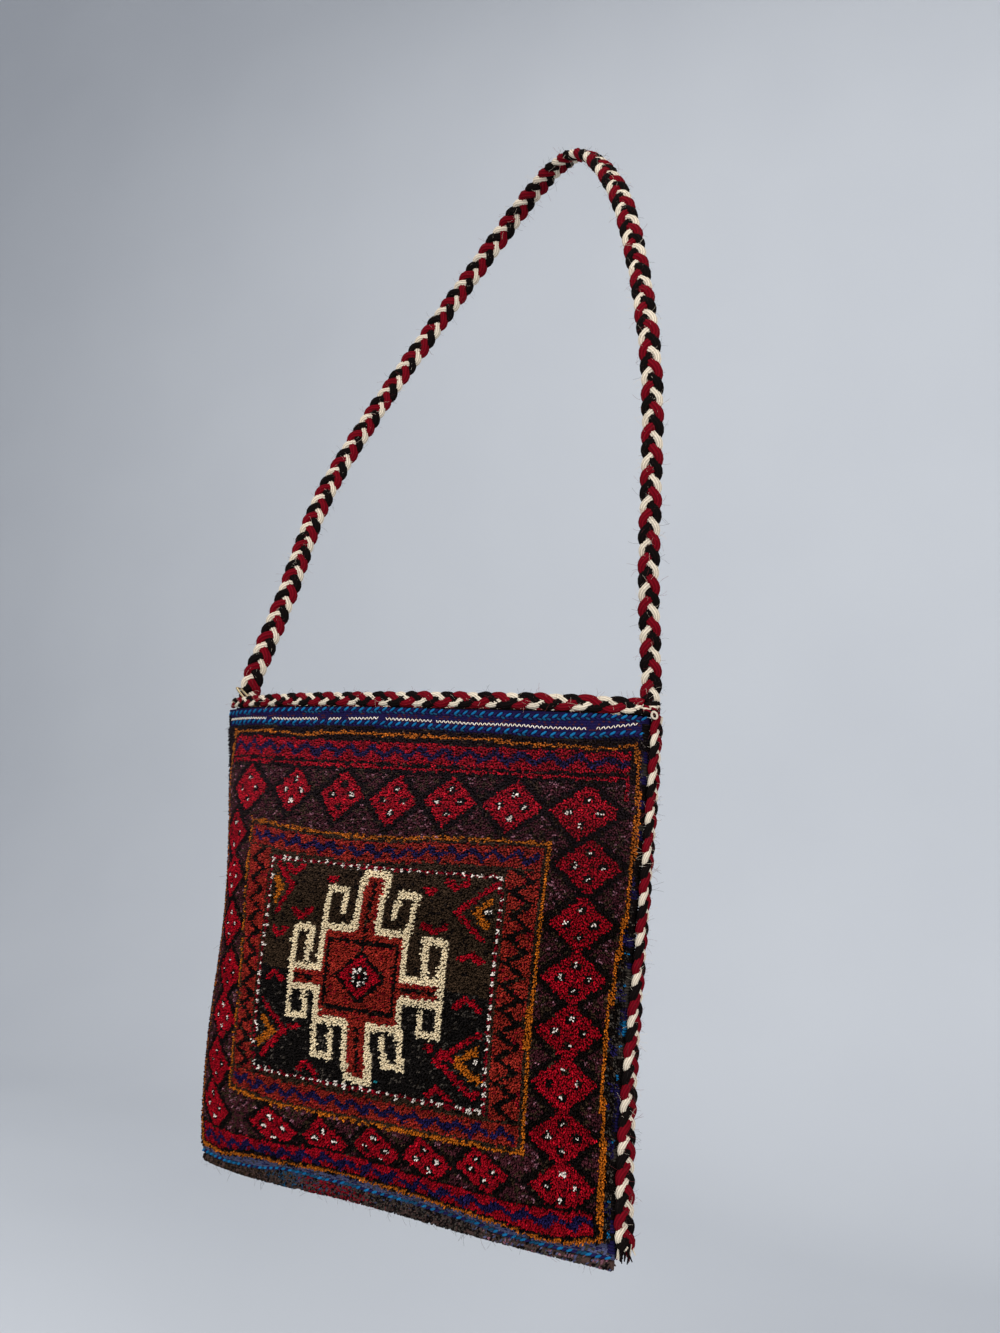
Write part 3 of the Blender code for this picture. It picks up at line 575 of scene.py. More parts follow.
# %% Flat weave finish
def make_weave_group():
    """Relief and shade of a weft-faced plain weave, from coordinates in metres."""
    group, given = shader_group(
        "flat weave",
        (("Place", "Vector", (0.0, 0.0, 0.0)), ("Warp Pitch", "Float", 0.0022),
         ("Weft Pitch", "Float", 0.0009)),
        (("Height", "Float"),))
    calc = partial(math_node, group)
    part = add_node(group, "ShaderNodeSeparateXYZ", {0: given["Place"]}).outputs
    across = calc("DIVIDE", part[0], given["Warp Pitch"])
    down = calc("DIVIDE", part[1], given["Weft Pitch"])
    shift = calc("MULTIPLY", calc("FLOOR", across), 0.5)
    over = calc("ABSOLUTE", calc("SINE", calc("MULTIPLY", across, math.pi)))
    rib = calc("ABSOLUTE", calc("SINE", calc("MULTIPLY", calc("ADD", down, shift), math.pi)))
    add_node(group, "NodeGroupOutput", {"Height": calc("MULTIPLY", calc("POWER", over, 0.5), rib)})
    return group


WEAVE = make_weave_group()


def weave_material(name, warp_pitch, weft_pitch, hollow_shade_depth=0.45, dye_spread=0.3):
    material, tree, shader = start_material(name)
    calc = partial(math_node, tree)
    coordinates = add_node(tree, "ShaderNodeUVMap", uv_map="cloth").outputs[0]
    weave = add_node(tree, "ShaderNodeGroup", node_tree=WEAVE)
    feed(tree, weave, {"Place": coordinates})
    weave.inputs["Warp Pitch"].default_value = warp_pitch
    weave.inputs["Weft Pitch"].default_value = weft_pitch
    fibres = add_node(tree, "ShaderNodeGroup", node_tree=FIBRES)
    fibres.inputs["Hollow Shade Depth"].default_value = hollow_shade_depth
    fibres.inputs["Dye Spread"].default_value = dye_spread
    # Painted shade: the dips between the weave's ribs are made darker, by up to the hollow depth, from the
    # weave's height.
    feed(tree, fibres, {"Colour": attribute(tree, "yarn", "Color"), "Hollow": weave.outputs["Height"]})
    height = calc("ADD", weave.outputs["Height"], calc("MULTIPLY", fibres.outputs["Height"], 0.5))
    dress_in_wool(tree, shader, fibres, height, 0.7, 0.0006)
    return material


rug_ground = weave_material("rug_ground_weave", 0.0024, 0.0009)
back_weave = weave_material("back_flat_weave", 0.0026, 0.0011)
tape_weave = weave_material("zip_tape_weave", 0.0009, 0.0006, 0.35, 0.15)
print("weaves made")

# %% Ground cloth of both faces
GROUND_COLUMNS = 86
GROUND_ROWS = 226
NAVY_TOP = 17.0                # the flat-woven strip along the mouth, in millimetres
# how far down the pile ends, at places from the left seam, in millimetres
BOTTOM_PLACES = (0, 38, 65, 84, 109, 152, 170, 187, 224, 281, 306, 323, 335, 348)
BOTTOM_EDGE = (330, 329.8, 325, 321.7, 320.6, 318.6, 318, 319.5, 321, 328, 332.4, 331.6, 329.3, 327.5)
# where each stripe of the back begins, in millimetres from the mouth
BACK_STRIPES = (
    (0, "navy"), (12, "brick"), (34, "black"), (40, "gold"), (43, "black"), (50, "plum"), (92, "black"),
    (98, "cream"), (101, "navy"), (116, "cream"), (119, "black"), (125, "brick"), (178, "black"),
    (184, "gold"), (187, "navy"), (202, "gold"), (205, "black"), (211, "plum"), (262, "black"),
    (268, "cream"), (271, "black"), (278, "brick"), (318, "navy"), (327, "slate"))


def shell(name, outer, inner, coordinates, colours, material):
    """A closed shell between two grids of points, with cloth coordinates and a yarn on each."""
    rows, columns = outer.shape[:2]
    count = rows * columns
    grid = np.arange(count).reshape(rows, columns)
    faces = []
    for r in range(rows - 1):
        for c in range(columns - 1):
            a, b, d, e = grid[r, c], grid[r, c + 1], grid[r + 1, c + 1], grid[r + 1, c]
            faces += [(a, b, d, e), (count + a, count + e, count + d, count + b)]
    border = ([(0, c) for c in range(columns)] + [(r, columns - 1) for r in range(1, rows)]
              + [(rows - 1, c) for c in range(columns - 2, -1, -1)] + [(r, 0) for r in range(rows - 2, 0, -1)])
    for here, there in zip(border, border[1:] + border[:1]):
        a, b = grid[here], grid[there]
        faces.append((a, count + a, count + b, b))
    thing = plain_mesh(name, np.concatenate([outer.reshape(-1, 3), inner.reshape(-1, 3)]), (), faces)
    store(thing, "yarn", "FLOAT_COLOR", np.tile(YARN_COLOURS[colours.reshape(-1)], (2, 1)))
    flat = np.tile(coordinates.reshape(-1, 2), (2, 1))
    corners = np.zeros(len(thing.data.loops), dtype=np.int32)
    thing.data.loops.foreach_get("vertex_index", corners)
    layer = thing.data.uv_layers.new(name="cloth")
    layer.data.foreach_set("uv", flat[corners].astype(np.float32).ravel())
    thing.data.materials.append(material)
    thing.data.shade_smooth()
    toward = (outer - inner).reshape(-1, 3).mean(axis=0)
    first = np.cross(outer[0, 1] - outer[0, 0], outer[1, 1] - outer[0, 0])
    if first @ toward < 0:
        thing.data.flip_normals()
    return thing


def ground_colours(side, arc, depth):
    """The ground's yarns along one row: under the pile, in the flat strips, or in a stripe of the back."""
    if side > 0:
        strip = [colour for start, colour in BACK_STRIPES if depth >= start][-1]
        return np.full(len(arc), yarn(strip))
    below = depth > np.interp(arc / MM, BOTTOM_PLACES, BOTTOM_EDGE)
    return np.where(depth < NAVY_TOP, yarn("navy"), np.where(below, yarn("slate"), yarn("brown")))


def make_ground(side, name, material):
    across = np.linspace(0, 1, GROUND_COLUMNS)
    outer, inner, coordinates, colours = [], [], [], []
    for down in np.linspace(0, 1, GROUND_ROWS):
        downs = np.full(GROUND_COLUMNS, down)
        high = lifted(side, across, downs, CLOTH / 2)
        low = lifted(side, across, downs, -CLOTH / 2)
        if down in (0.0, 1.0):
            high[:, 2] = low[:, 2] = MOUTH[2] - down * WOVEN_HEIGHT
        _, arc = arc_table(side, down, CLOTH / 2, GROUND_COLUMNS)
        outer.append(high)
        inner.append(low)
        coordinates.append(np.stack([arc, downs * WOVEN_HEIGHT], axis=1))
        colours.append(ground_colours(side, arc, down * WOVEN_HEIGHT / MM))
    ground = shell(name, np.array(outer), np.array(inner), np.array(coordinates), np.array(colours), material)
    print(name, "triangles", triangles(ground))
    return ground


front_ground = dress(make_ground(-1, "front_ground", rug_ground), "rug_pile", "front_panel")
back_ground = dress(make_ground(1, "back_ground", back_weave), "back_weave", "back_panel")

# %% [markdown]
# The face of the bag is a small knotted rug, and its design is a traditional one: a hooked medallion in a
# dark field, a dotted line, a zigzag guard, a border of stepped diamonds with four dots, and another guard.
# Each knot has one colour. So the design is a function that takes the place of a knot, in millimetres over
# the cloth from either seam and from the mouth, and names its yarn. The borders were woven by hand and
# wander, so each border line is a curve through a few places.

# %% Rules of the border lines
BORDER_LINES = {
    # the distance that goes along the line, places on it, and how far the line lies from its own edge
    "left gold": ("down", (17, 30, 43, 55, 100, 165, 200, 235, 270, 300),
                  (21, 16, 10, 7, 9, 18, 23, 19, 12, 8)),
    "right gold": ("down", (19, 60, 123, 163, 205, 245, 270, 324), (7.5, 4.2, 6, 10.5, 13.5, 12, 9.5, 8.5)),
    "top gold": ("left", (27, 64, 96, 146, 185, 256, 297, 321, 331, 348, 357),
                 (17.2, 17.6, 20.3, 18.4, 19.6, 20.8, 23, 22.3, 23.2, 21.2, 18.8)),
    "bottom gold": ("left", BOTTOM_PLACES, BOTTOM_EDGE),
    "top band": ("left", (25, 110, 290, 340, 360), (17.5, 20.8, 22.3, 21.5, 19.5)),
    "bottom band": ("left", (38, 80, 117, 151, 187, 214, 229, 291, 310, 330, 346),
                    (320, 316.5, 314.5, 311.5, 311.3, 313, 314.8, 318.5, 319.5, 319.5, 318)),
    "left inner": ("down", (83, 105, 130, 149, 186, 214, 238, 261, 276),
                   (63.3, 66.3, 71.4, 75.9, 82.5, 84.4, 81, 78.6, 73.4)),
    "right inner": ("down", (87, 125, 167, 200, 250, 281), (60.2, 60.8, 62.7, 63.2, 62.1, 60.4)),
    "top inner": ("left", (63, 120, 165, 206, 232, 316), (84, 89.7, 91.9, 91.4, 88.8, 87.1)),
    "bottom inner": ("left", (73, 114, 320), (277.5, 280, 281)),
    "left dots": ("down", (111, 128, 151, 171, 192, 218, 249, 257),
                  (101, 105, 108.7, 109.6, 108.7, 108.5, 106.2, 107.2)),
    "right dots": ("down", (112, 125, 158, 205, 246, 259), (91, 89.8, 90, 89.5, 88.5, 88)),
    "top dots": ("left", (101, 185, 280), (111.2, 112.2, 111.7)),
    "bottom dots": ("left", (107, 280), (258.5, 259.6)),
}


def border_lines(left, down):
    """Where each border line lies, level with or above these places."""
    along = {"left": left, "down": down}
    return {name: np.interp(along[way], places, depths)
            for name, (way, places, depths) in BORDER_LINES.items()}


def inward(lines, name, left, right, down):
    """How far places lie inside a frame of four border lines, from its left, right, top and bottom."""
    return (left - lines["left " + name], right - lines["right " + name],
            down - lines["top " + name], lines["bottom " + name] - down)


def beyond(depths, margin):
    return (depths[0] > margin) & (depths[1] > margin)


def near(value, middle, half):
    return np.abs(value - middle) < half


def within(value, low, high):
    return (value > low) & (value < high)


def on_frame(depths, halves, margin):
    """Places on the upright and on the level lines of a frame; halves are half of each line's width."""
    on = [np.abs(depth) < half for depth, half in zip(depths, halves)]
    return ((on[0] | on[1]) & beyond(depths[2:], -margin)), ((on[2] | on[3]) & beyond(depths[:2], -margin))


def zigzag(place, depth, middle, period, reach, half):
    """True on a line that swings by reach to either side of its middle as place goes on."""
    return near(depth - middle, reach * (4 * np.abs(place / period % 1.0 - 0.5) - 1), half)


def near_lines(x, y, lines, half):
    """True near any of the lines, each a row of points."""
    found = np.zeros(np.shape(x), bool)
    for points in lines:
        for (x0, y0), (x1, y1) in zip(points, points[1:]):
            run = np.array((x1 - x0, y1 - y0), float)
            share = np.clip(((x - x0) * run[0] + (y - y0) * run[1]) / (run @ run), 0, 1)
            found |= np.hypot(x - x0 - share * run[0], y - y0 - share * run[1]) < half
    return found


def brush(colours):
    """A call that lays one yarn on the knots of a mask."""
    def lay(mask, name):
        colours[mask] = yarn(name)
    return lay


print(len(BORDER_LINES), "border lines")

# %% [markdown]
# The border is a row of stepped diamonds on each side of the rug. Each has four white dots in dark rings
# towards its corners. No two are the same size, because the weaver counted the knots by eye.

# %% Rules of the diamonds
SIDE_DEPTHS = (95.5, 128, 164, 198, 231, 265, 297)
# each is a middle from the left seam, a middle down, half a width and half a height
LEFT_DIAMONDS = [
    *zip((49.5, 103, 148, 192, 236, 283, 332), (61, 61.5, 63.5, 66, 64, 64.5, 65.5),
         (25.5, 17.5, 19, 19.5, 20.5, 21.5, 23.5), (18, 17, 18, 18.5, 17.5, 17.5, 18)),
    *zip((33, 40, 51, 61, 58, 50, 40), SIDE_DEPTHS, (25.0,) * 7, (17.8,) * 7),
    *zip((116, 162, 204, 243, 283), (297, 297.5, 296.5, 296.5, 296), (22.5, 19, 18.5, 18.5, 18.5), (14.5,) * 5),
]
# the same, with the middle from the right seam
RIGHT_DIAMONDS = list(zip((33.5, 35.5, 36.5, 37, 37.5, 36, 34), (99.9, 136.8, 170.8, 204.4, 236, 268.3, 298.5),
                          (21.6,) * 7, (17.9,) * 7))
DOT_PLACES = ((0, -0.46), (0, 0.46), (-0.42, 0), (0.42, 0))
DOT_RADIUS = 1.3
DOT_RING = 2.9
DARK_EDGE = 1.34
FAR_AWAY = 9.0


def paint_diamonds(lay, left, right, down):
    nearest = np.full(left.shape, FAR_AWAY)
    dots = np.zeros(left.shape, bool)
    rings = np.zeros(left.shape, bool)
    for across, row in ((left, LEFT_DIAMONDS), (right, RIGHT_DIAMONDS)):
        for middle, depth, wide, high in row:
            u, v = across - middle, down - depth
            nearest = np.minimum(nearest, np.abs(u) / wide + np.abs(v) / high)
            for share_across, share_down in DOT_PLACES:
                away = np.hypot((u - share_across * wide) * 0.9, v - share_down * high)
                dots |= away < DOT_RADIUS
                rings |= away < DOT_RING
    lay(nearest < DARK_EDGE, "black")
    lay(nearest < 1.0, "crimson")
    lay(rings & (nearest < 1.1), "black")
    lay(dots, "white")


print(len(LEFT_DIAMONDS) + len(RIGHT_DIAMONDS), "diamonds in the border")

# %% [markdown]
# The medallion is a brick cross with a square heart, edged in cream, and its cream line ends in hooks. The
# four quarters mirror one set of hooks, with slightly other sizes above and below. Chevrons and small bent
# marks fill the dark field round it.

# %% Rules of the medallion
MEDALLION = (197.5, 187.0)
SQUARE = 34.0
ARM_HALF = 9.5
CREAM_HALF = 2.55
DARK_HALF = 1.4
QUADRANTS = (
    # down sign, shoulder, arm line, arm tip, hook top, hook end, side hook's top
    (-1, 32.0, 3.2, 70.0, 58.0, 44.0, 29.5),
    (1, 31.0, 10.8, 66.5, 54.5, 38.0, 31.0),
)
ARM_TIPS = {-1: 58.0, 1: 63.5}
CHEVRONS = (
    # apex, upper end and lower end of the crimson line, then of the gold one, and the dot inside
    ((265.3, 136.6), (288, 117), (287.1, 152.5), (279.5, 135.3), (287.5, 128), (288.6, 144.3), (288.2, 134.9)),
    ((259.4, 232.2), (291, 212.5), (279.5, 246.1), (274.3, 230.8), (289.8, 222.7), (289.7, 241.4),
     (289.2, 229.5)),
    ((128, 130), (109.5, 115), (117.6, 149.4), (117.9, 133.3), (110.9, 125.8), (114.2, 141), (105.5, 133)),
    ((137.2, 229.4), (116.5, 212.5), (114.6, 248.5), (125.7, 231.8), (116.3, 224), (112.2, 240.6),
     (110.5, 232)),
)
SMALL_MARKS = (
    # middle, half the width, and how far its middle dips
    ((161, 123), 3.0, 1.0), ((127, 118.5), 6.5, 5.0), ((142.5, 148), 7.5, 5.0), ((124, 163), 6.0, 4.0),
    ((250, 149), 8.5, 4.0), ((242, 124.5), 3.5, 2.0), ((260, 119), 8.0, 6.0), ((281, 165), 8.0, -4.0),
    ((125, 193), 6.5, -5.0), ((155.6, 251), 7.0, -6.0), ((145, 226), 3.0, 0.0), ((254.5, 225.5), 2.5, 1.0),
    ((266, 228), 5.0, -4.0), ((260, 252.5), 8.0, -5.0), ((281, 194), 9.0, -6.0), ((284, 249.5), 5.0, 3.0),
)
STRAY_BEAD = (213.7, 251.8)


def medallion_lines():
    """The cream line of the hooked medallion: each quadrant mirrors the same hooks."""
    lines = []
    for right, tip in ARM_TIPS.items():
        for down, shoulder, arm, top, hook, end, side_hook in QUADRANTS:
            shapes = (
                [(0, top), (ARM_HALF, top), (ARM_HALF, shoulder), (SQUARE, shoulder), (SQUARE, arm),
                 (tip, arm)],
                [(SQUARE, shoulder), (SQUARE + 1.5, hook), (22, hook), (21, end)],
                [(tip, arm - 7), (tip, side_hook), (tip - 14.5, side_hook), (tip - 13, arm + 5.5)],
            )
            lines += [[(MEDALLION[0] + right * x, MEDALLION[1] + down * y) for x, y in shape]
                      for shape in shapes]
    return lines


def paint_marks(lay, x, y):
    for (middle_x, middle_y), half, dip in SMALL_MARKS:
        points = [(middle_x - half, middle_y - dip / 2), (middle_x, middle_y + dip / 2),
                  (middle_x + half, middle_y - dip / 2)]
        lay(near_lines(x, y, [points], 2.1), "crimson")
    for apex, upper, lower, gold_apex, gold_upper, gold_lower, dot in CHEVRONS:
        away = np.hypot(x - dot[0], y - dot[1])
        lay(near_lines(x, y, [(upper, apex, lower)], 1.9), "crimson")
        lay(near_lines(x, y, [(gold_upper, gold_apex, gold_lower)], 2.3), "gold")
        lay(away < 3.4, "black")
        lay(away < 1.6, "white")


def paint_medallion(lay, x, y):
    """The cross, its dark lines, the diamond and rosette at its heart, and its cream edge."""
    u, v = x - MEDALLION[0], y - MEDALLION[1]
    square = (np.abs(u) < SQUARE) & within(v, -32, 31)
    upright = (np.abs(u) < ARM_HALF) & within(v, -70, 66)
    level = within(u, -58, 63) & within(v, -3.2, 10.8)
    lay(square | upright | level, "brick")
    lay(square & near(np.abs(u), 27.5, 1.5) & near(v, -1, 23.5), "black")
    lay(square & near(np.abs(v + 1), 22.5, 1.5) & (np.abs(u) < 29), "black")
    lay((np.abs(u) < DARK_HALF) & (within(v, -65, -14) | within(v, 33, 62)), "black")
    lay(near(v, 3.8, DARK_HALF) & (np.abs(u + 2) > 35) & within(u, -54, 59), "black")
    diamond = np.abs(u) / 21.5 + np.abs(v + 0.5) / 18.5
    lay(diamond < 1.0, "black")
    lay(diamond < 0.80, "crimson")
    ring = np.hypot(u, v + 0.3)
    lay(ring < 7.6, "black")
    lay(within(ring, 3.4, 6.4) & (np.cos(8 * np.arctan2(v, u)) > -0.2), "white")
    lay(ring < 1.6, "crimson")
    lay(near_lines(x, y, medallion_lines(), CREAM_HALF), "cream")
    lay(np.hypot(x - STRAY_BEAD[0], y - STRAY_BEAD[1]) < 1.5, "turquoise")


print("medallion has", len(medallion_lines()), "cream lines")

# %% [markdown]
# Bands run along the mouth and the bottom, and guards run round the field. Each holds one zigzag. The
# outermost edge is dark wool that has faded and rubbed, with stray knots of blue, plum and gold in it.

# %% Rules of the bands and guards
# middle, length of one swing, reach and half the width of each zigzag, in millimetres
TOP_ZIGZAG = (10.4, 19.5, 3.4, 2.4)
BOTTOM_ZIGZAG = (0.0, 18.5, 2.9, 2.4)
UPPER_GUARD_ZIGZAG = (9.8, 16.0, 2.9, 2.3)
LOWER_GUARD_ZIGZAG = (9.6, 16.0, 2.9, 2.3)
SIDE_GUARD_ZIGZAG = (15.0, 6.5, 3.3)
UPPER_GUARD = (3.2, 16.8)
LOWER_GUARD = (3.2, 16.4)
TOP_LINE = (20.1, 22.4)


def paint_band(lay, band, left, depth, swing):
    lay(band, "crimson")
    lay(band & zigzag(left, depth, *swing), "navy")


def paint_bands(lay, lines, left, right, down):
    inside = (right > lines["right gold"] + 5) & (left > lines["left gold"] + 4)
    depth = down - lines["top band"]
    lay(depth < 25.0, "black")
    lay(inside & within(depth, *TOP_LINE), "crimson")
    lay(inside & near(right, lines["right gold"] + 7.5, 1.3) & within(depth, TOP_LINE[0], 36), "crimson")
    band = inside & within(depth, 3.6, 17.8) & (down > lines["top gold"] + 3.0)
    paint_band(lay, band, left, depth, TOP_ZIGZAG)
    depth = down - lines["bottom band"]
    lay(depth > -8.5, "black")
    band = inside & (depth > -6.6) & (down < lines["bottom gold"] - 3.2)
    paint_band(lay, band, left, depth, BOTTOM_ZIGZAG)


def paint_guards(lay, lines, left, right, down):
    u, v, t, b = inward(lines, "inner", left, right, down)
    inside = beyond((u, v), 0) & beyond((t, b), 0)
    lay(inside, "brown")
    for depth, guard, swing in ((t, UPPER_GUARD, UPPER_GUARD_ZIGZAG), (b, LOWER_GUARD, LOWER_GUARD_ZIGZAG)):
        strip = inside & within(depth, *guard)
        lay(strip & beyond((u, v), 4), "brick")
        lay(strip & beyond((u, v), 6) & zigzag(left, depth, *swing), "navy")
    tall = inside & (t > 18.5) & (b > 18)
    for side, distance in (("left", u), ("right", v)):
        gap = np.abs(lines[side + " dots"] - lines[side + " inner"])
        strip = tall & (distance > 3.5) & (distance < gap - 4.0)
        lay(strip, "brick")
        lay(strip & zigzag(down, distance, gap / 2, *SIDE_GUARD_ZIGZAG), "black")


def paint_edges(lay, lines, left, right, down, chance):
    """The worn dark edge beyond the outer gold line."""
    outside = (left < lines["left gold"] - 1.5) | (right < lines["right gold"] - 1.6)
    by_right, by_left = outside & (right < 30), outside & (left < 40) & (down > 62)
    patch = np.sin(down / 5.3) + np.sin(down / 2.9 + right * 0.4) > 0.8
    lay(outside, "black")
    lay(by_right & (chance < 0.28), "grey")
    lay(by_right & patch & (chance > 0.25), "navy")
    lay(outside & (right < 5.5) & (down > 150) & (down / 19 % 1.0 < 0.15) & (chance > 0.3), "blue")
    lay(by_left & (chance > 0.45), "plum")
    lay(by_left & (chance > 0.90), "gold")


print("rules of the bands ready")

# %% [markdown]
# The whole face lays these rules over each other from the ground up, as a painter would. Each knot is moved
# a little at random before it is asked for its colour, so that edges step as knots do, and a few knots are
# tied in a neighbouring shade, so that no patch of colour is even.

# %% Rules of the whole face
RANDOM = np.random.default_rng(7)
KNOT_WANDER = 0.38
DOT_PITCH = 6.8
LINE_DOT = 1.35
FIELD_CHANGE = 189             # below this the field was tied in darker wool
# half the widths of a frame's left, right, top and bottom lines, and how far they run past the corner
DOTTED_FRAME = ((1.25, 1.25, 1.15, 1.15), 1.5)
INNER_FRAME = ((1.0, 1.3, 1.0, 1.1), 1.4)
GOLD_FRAME = ((1.3, 1.5, 1.0, 1.1), 1.5)
# how often a knot of one yarn was tied in another by chance
STRAYS = (("crimson", 0.11, "deep red"), ("brick", 0.10, "deep red"), ("brick", 0.09, "brown"),
          ("coal", 0.10, "grey"), ("brown", 0.10, "black"), ("brown", 0.08, "grey"),
          ("plum", 0.10, "black"), ("black", 0.07, "brown"))


def paint_frame(lay, depths, sizes, name):
    for mask in on_frame(depths, *sizes):
        lay(mask, name)


def paint_field(lay, colours, depths, left, down):
    """The dark field with the medallion and its marks, and the dotted line round it."""
    field = beyond(depths[:2], 0) & beyond(depths[2:], 0)
    lay(field, "brown")
    lay(field & (down > FIELD_CHANGE + 2 * np.sin(left / 23)), "coal")
    painted = colours.copy()
    paint_marks(brush(painted), left, down)
    paint_medallion(brush(painted), left, down)
    colours[field] = painted[field]
    paint_frame(lay, depths, DOTTED_FRAME, "deep red")
    margin = -DOTTED_FRAME[1]
    for beside, along, ends in zip(depths, (down, down, left, left), [depths[2:]] * 2 + [depths[:2]] * 2):
        ahead = (along / DOT_PITCH % 1.0 - 0.5) * DOT_PITCH
        lay(beyond(ends, margin) & (np.hypot(beside, ahead) < LINE_DOT), "white")


def paint_face(left, right, down):
    """The yarn of each knot, from its place over the cloth in millimetres."""
    lines = border_lines(left, down)
    chance = RANDOM.random(left.shape)
    left = left + RANDOM.normal(0, KNOT_WANDER, left.shape)
    down = down + RANDOM.normal(0, KNOT_WANDER, down.shape)
    colours = np.full(left.shape, yarn("plum"))
    lay = brush(colours)
    lay(chance < 0.30, "brown")
    lay(chance > 0.93, "dusty rose")
    paint_diamonds(lay, left, right, down)
    paint_bands(lay, lines, left, right, down)
    paint_guards(lay, lines, left, right, down)
    paint_field(lay, colours, inward(lines, "dots", left, right, down), left, down)
    paint_frame(lay, inward(lines, "inner", left, right, down), INNER_FRAME, "gold")
    paint_edges(lay, lines, left, right, down, chance)
    paint_frame(lay, inward(lines, "gold", left, right, down), GOLD_FRAME, "gold")
    stray = RANDOM.random(left.shape)
    for name, share, other in STRAYS:
        mask = (colours == yarn(name)) & (stray < share)
        lay(mask, other)
        stray = np.where(mask, 1.0, stray)
    return colours


print("rules ready")

# %% [markdown]
# Each knot is a loop of wool round two warps, cut so that tips of its plies stand up. A rug of this size has
# many thousands of them. A tree puts one small blunt tip on every point, turned to the cloth's normal and
# leaning down as worn pile does. A flat cloth with a painted pattern would be lighter, but its edge and its
# gloss would give it away. The pile is split into strips, so that no piece is too heavy.

# %% Tree that plants small shapes on points
def make_scatter_tree(name, make_shape):
    tree, given = start_tree(name, (("Material", "Material"),))
    height = add_node(tree, "ShaderNodeSeparateXYZ",
                      {0: add_node(tree, "GeometryNodeInputPosition").outputs[0]}).outputs["Z"]
    # rise runs from 0 at a shape's root to 1 at its top; the pile's wool paints shade towards the roots from it.
    shape = add_node(tree, "GeometryNodeStoreNamedAttribute",
                     {"Geometry": make_shape(tree), "Name": "rise", "Value": height}, data_type="FLOAT")
    facing, heading, size = [named_value(tree, label, "FLOAT_VECTOR") for label in ("facing", "heading", "size")]
    turned = add_node(tree, "FunctionNodeAlignRotationToVector", {"Vector": facing}, axis="Z")
    turned = add_node(tree, "FunctionNodeAlignRotationToVector",
                      {"Rotation": turned.outputs[0], "Vector": heading}, axis="X", pivot_axis="Z")
    placed = add_node(tree, "GeometryNodeInstanceOnPoints",
                      {"Points": given["Geometry"], "Instance": shape.outputs[0],
                       "Rotation": turned.outputs[0], "Scale": size})
    real = add_node(tree, "GeometryNodeRealizeInstances", {0: placed.outputs[0]})
    return end_tree(tree, real.outputs[0], given["Material"])


def tip_shape(tree):
    """A tuft's tip: three flat sides, a little wider at its root and blunt at the top."""
    return add_node(tree, "GeometryNodeMeshCone", {"Vertices": 3, "Side Segments": 1, "Radius Top": 0.74,
                                                   "Radius Bottom": 1.05, "Depth": 1.0}).outputs["Mesh"]


def bead_shape(tree):
    """A short plump stitch."""
    bead = add_node(tree, "GeometryNodeMeshUVSphere", {"Segments": 6, "Rings": 5, "Radius": 1.0})
    return bead.outputs["Mesh"]


def hair_shape(tree):
    """A fine fibre that bends over."""
    line = add_node(tree, "GeometryNodeCurvePrimitiveLine", {"Start": (0, 0, 0), "End": (0, 0, 1)})
    line = add_node(tree, "GeometryNodeResampleCurve", {"Curve": line.outputs[0], "Count": 5})
    height = add_node(tree, "ShaderNodeSeparateXYZ",
                      {0: add_node(tree, "GeometryNodeInputPosition").outputs[0]}).outputs[2]
    lean = math_node(tree, "MULTIPLY", math_node(tree, "MULTIPLY", height, height), 0.7)
    moved = add_node(tree, "ShaderNodeCombineXYZ", {0: lean, 2: height}).outputs[0]
    line = add_node(tree, "GeometryNodeSetPosition", {"Geometry": line.outputs[0], "Position": moved})
    ring = add_node(tree, "GeometryNodeCurvePrimitiveCircle", {"Resolution": 3, "Radius": 0.011})
    return add_node(tree, "GeometryNodeCurveToMesh", {"Curve": line.outputs[0], "Profile Curve": ring.outputs[0],
                                                      "Fill Caps": True}).outputs[0]


TIP_TREE = make_scatter_tree("pile tips", tip_shape)
BEAD_TREE = make_scatter_tree("stitches", bead_shape)
HAIR_TREE = make_scatter_tree("loose fibres", hair_shape)


def scatter(name, tree, points, facing, heading, size, colours, material):
    """A piece made of one small shape at every point."""
    thing = plain_mesh(name, points)
    vectors = {"facing": facing, "heading": heading, "size": size}
    for label, values in vectors.items():
        store(thing, label, "FLOAT_VECTOR", values)
    store(thing, "yarn", "FLOAT_COLOR", colours)
    thing = run_tree(thing, tree, {"Material": material}, drop=vectors)
    print(name, "shapes", len(points), "triangles", triangles(thing))
    return thing


print("trees ready")

# %% Plant the pile
# Painted shade: each tip is made darker towards its root, by up to two thirds, as if shaded by the tufts round
# it.
pile_wool = wool_material("pile_wool", "rise", 0.66, 1500.0, 0.22, 0.2)
KNOT_COLUMNS = 164
KNOT_ROW = 1.60 * MM
PILE_TOP, PILE_BOTTOM = 12.6 * MM, 335 * MM
SEAM_MARGIN = 0.0025
PILE_STRIPS = 8
ROOT_DEPTH = 0.0003            # the tufts start a little inside the ground
TIPS_OF_A_KNOT = (-0.72, 0.0, 0.72)
# Knots above this share of the height are lifted towards a pale pink tint, more so nearer the mouth, and their
# tone spreads more.
PALE_TOP_DEPTH = 0.42
PALE_TOP_TINT = np.array((0.009, 0.006, 0.008))
# how far down the upper twining, the zigzag line and the lower twining lie, in millimetres
ROW_PLACES = (27, 82, 125, 164, 202, 238, 272, 296, 310, 321, 333, 345, 355)
UPPER_ROW = (3.6, 2.7, 2.0, 1.8, 2.2, 3.3, 4.4, 4.1, 3.0, 2.2, 1.7, 1.6, 1.6)
ZIGZAG_ROW = (7.7, 9.2, 8.7, 7.7, 8.8, 10.0, 10.3, 11.0, 10.8, 10.6, 9.2, 7.0, 4.8)
LOWER_ROW = (10.9, 12.1, 11.8, 11.9, 12.7, 14.0, 14.9, 16.1, 15.8, 15.2, 13.8, 12.2, 11.4)


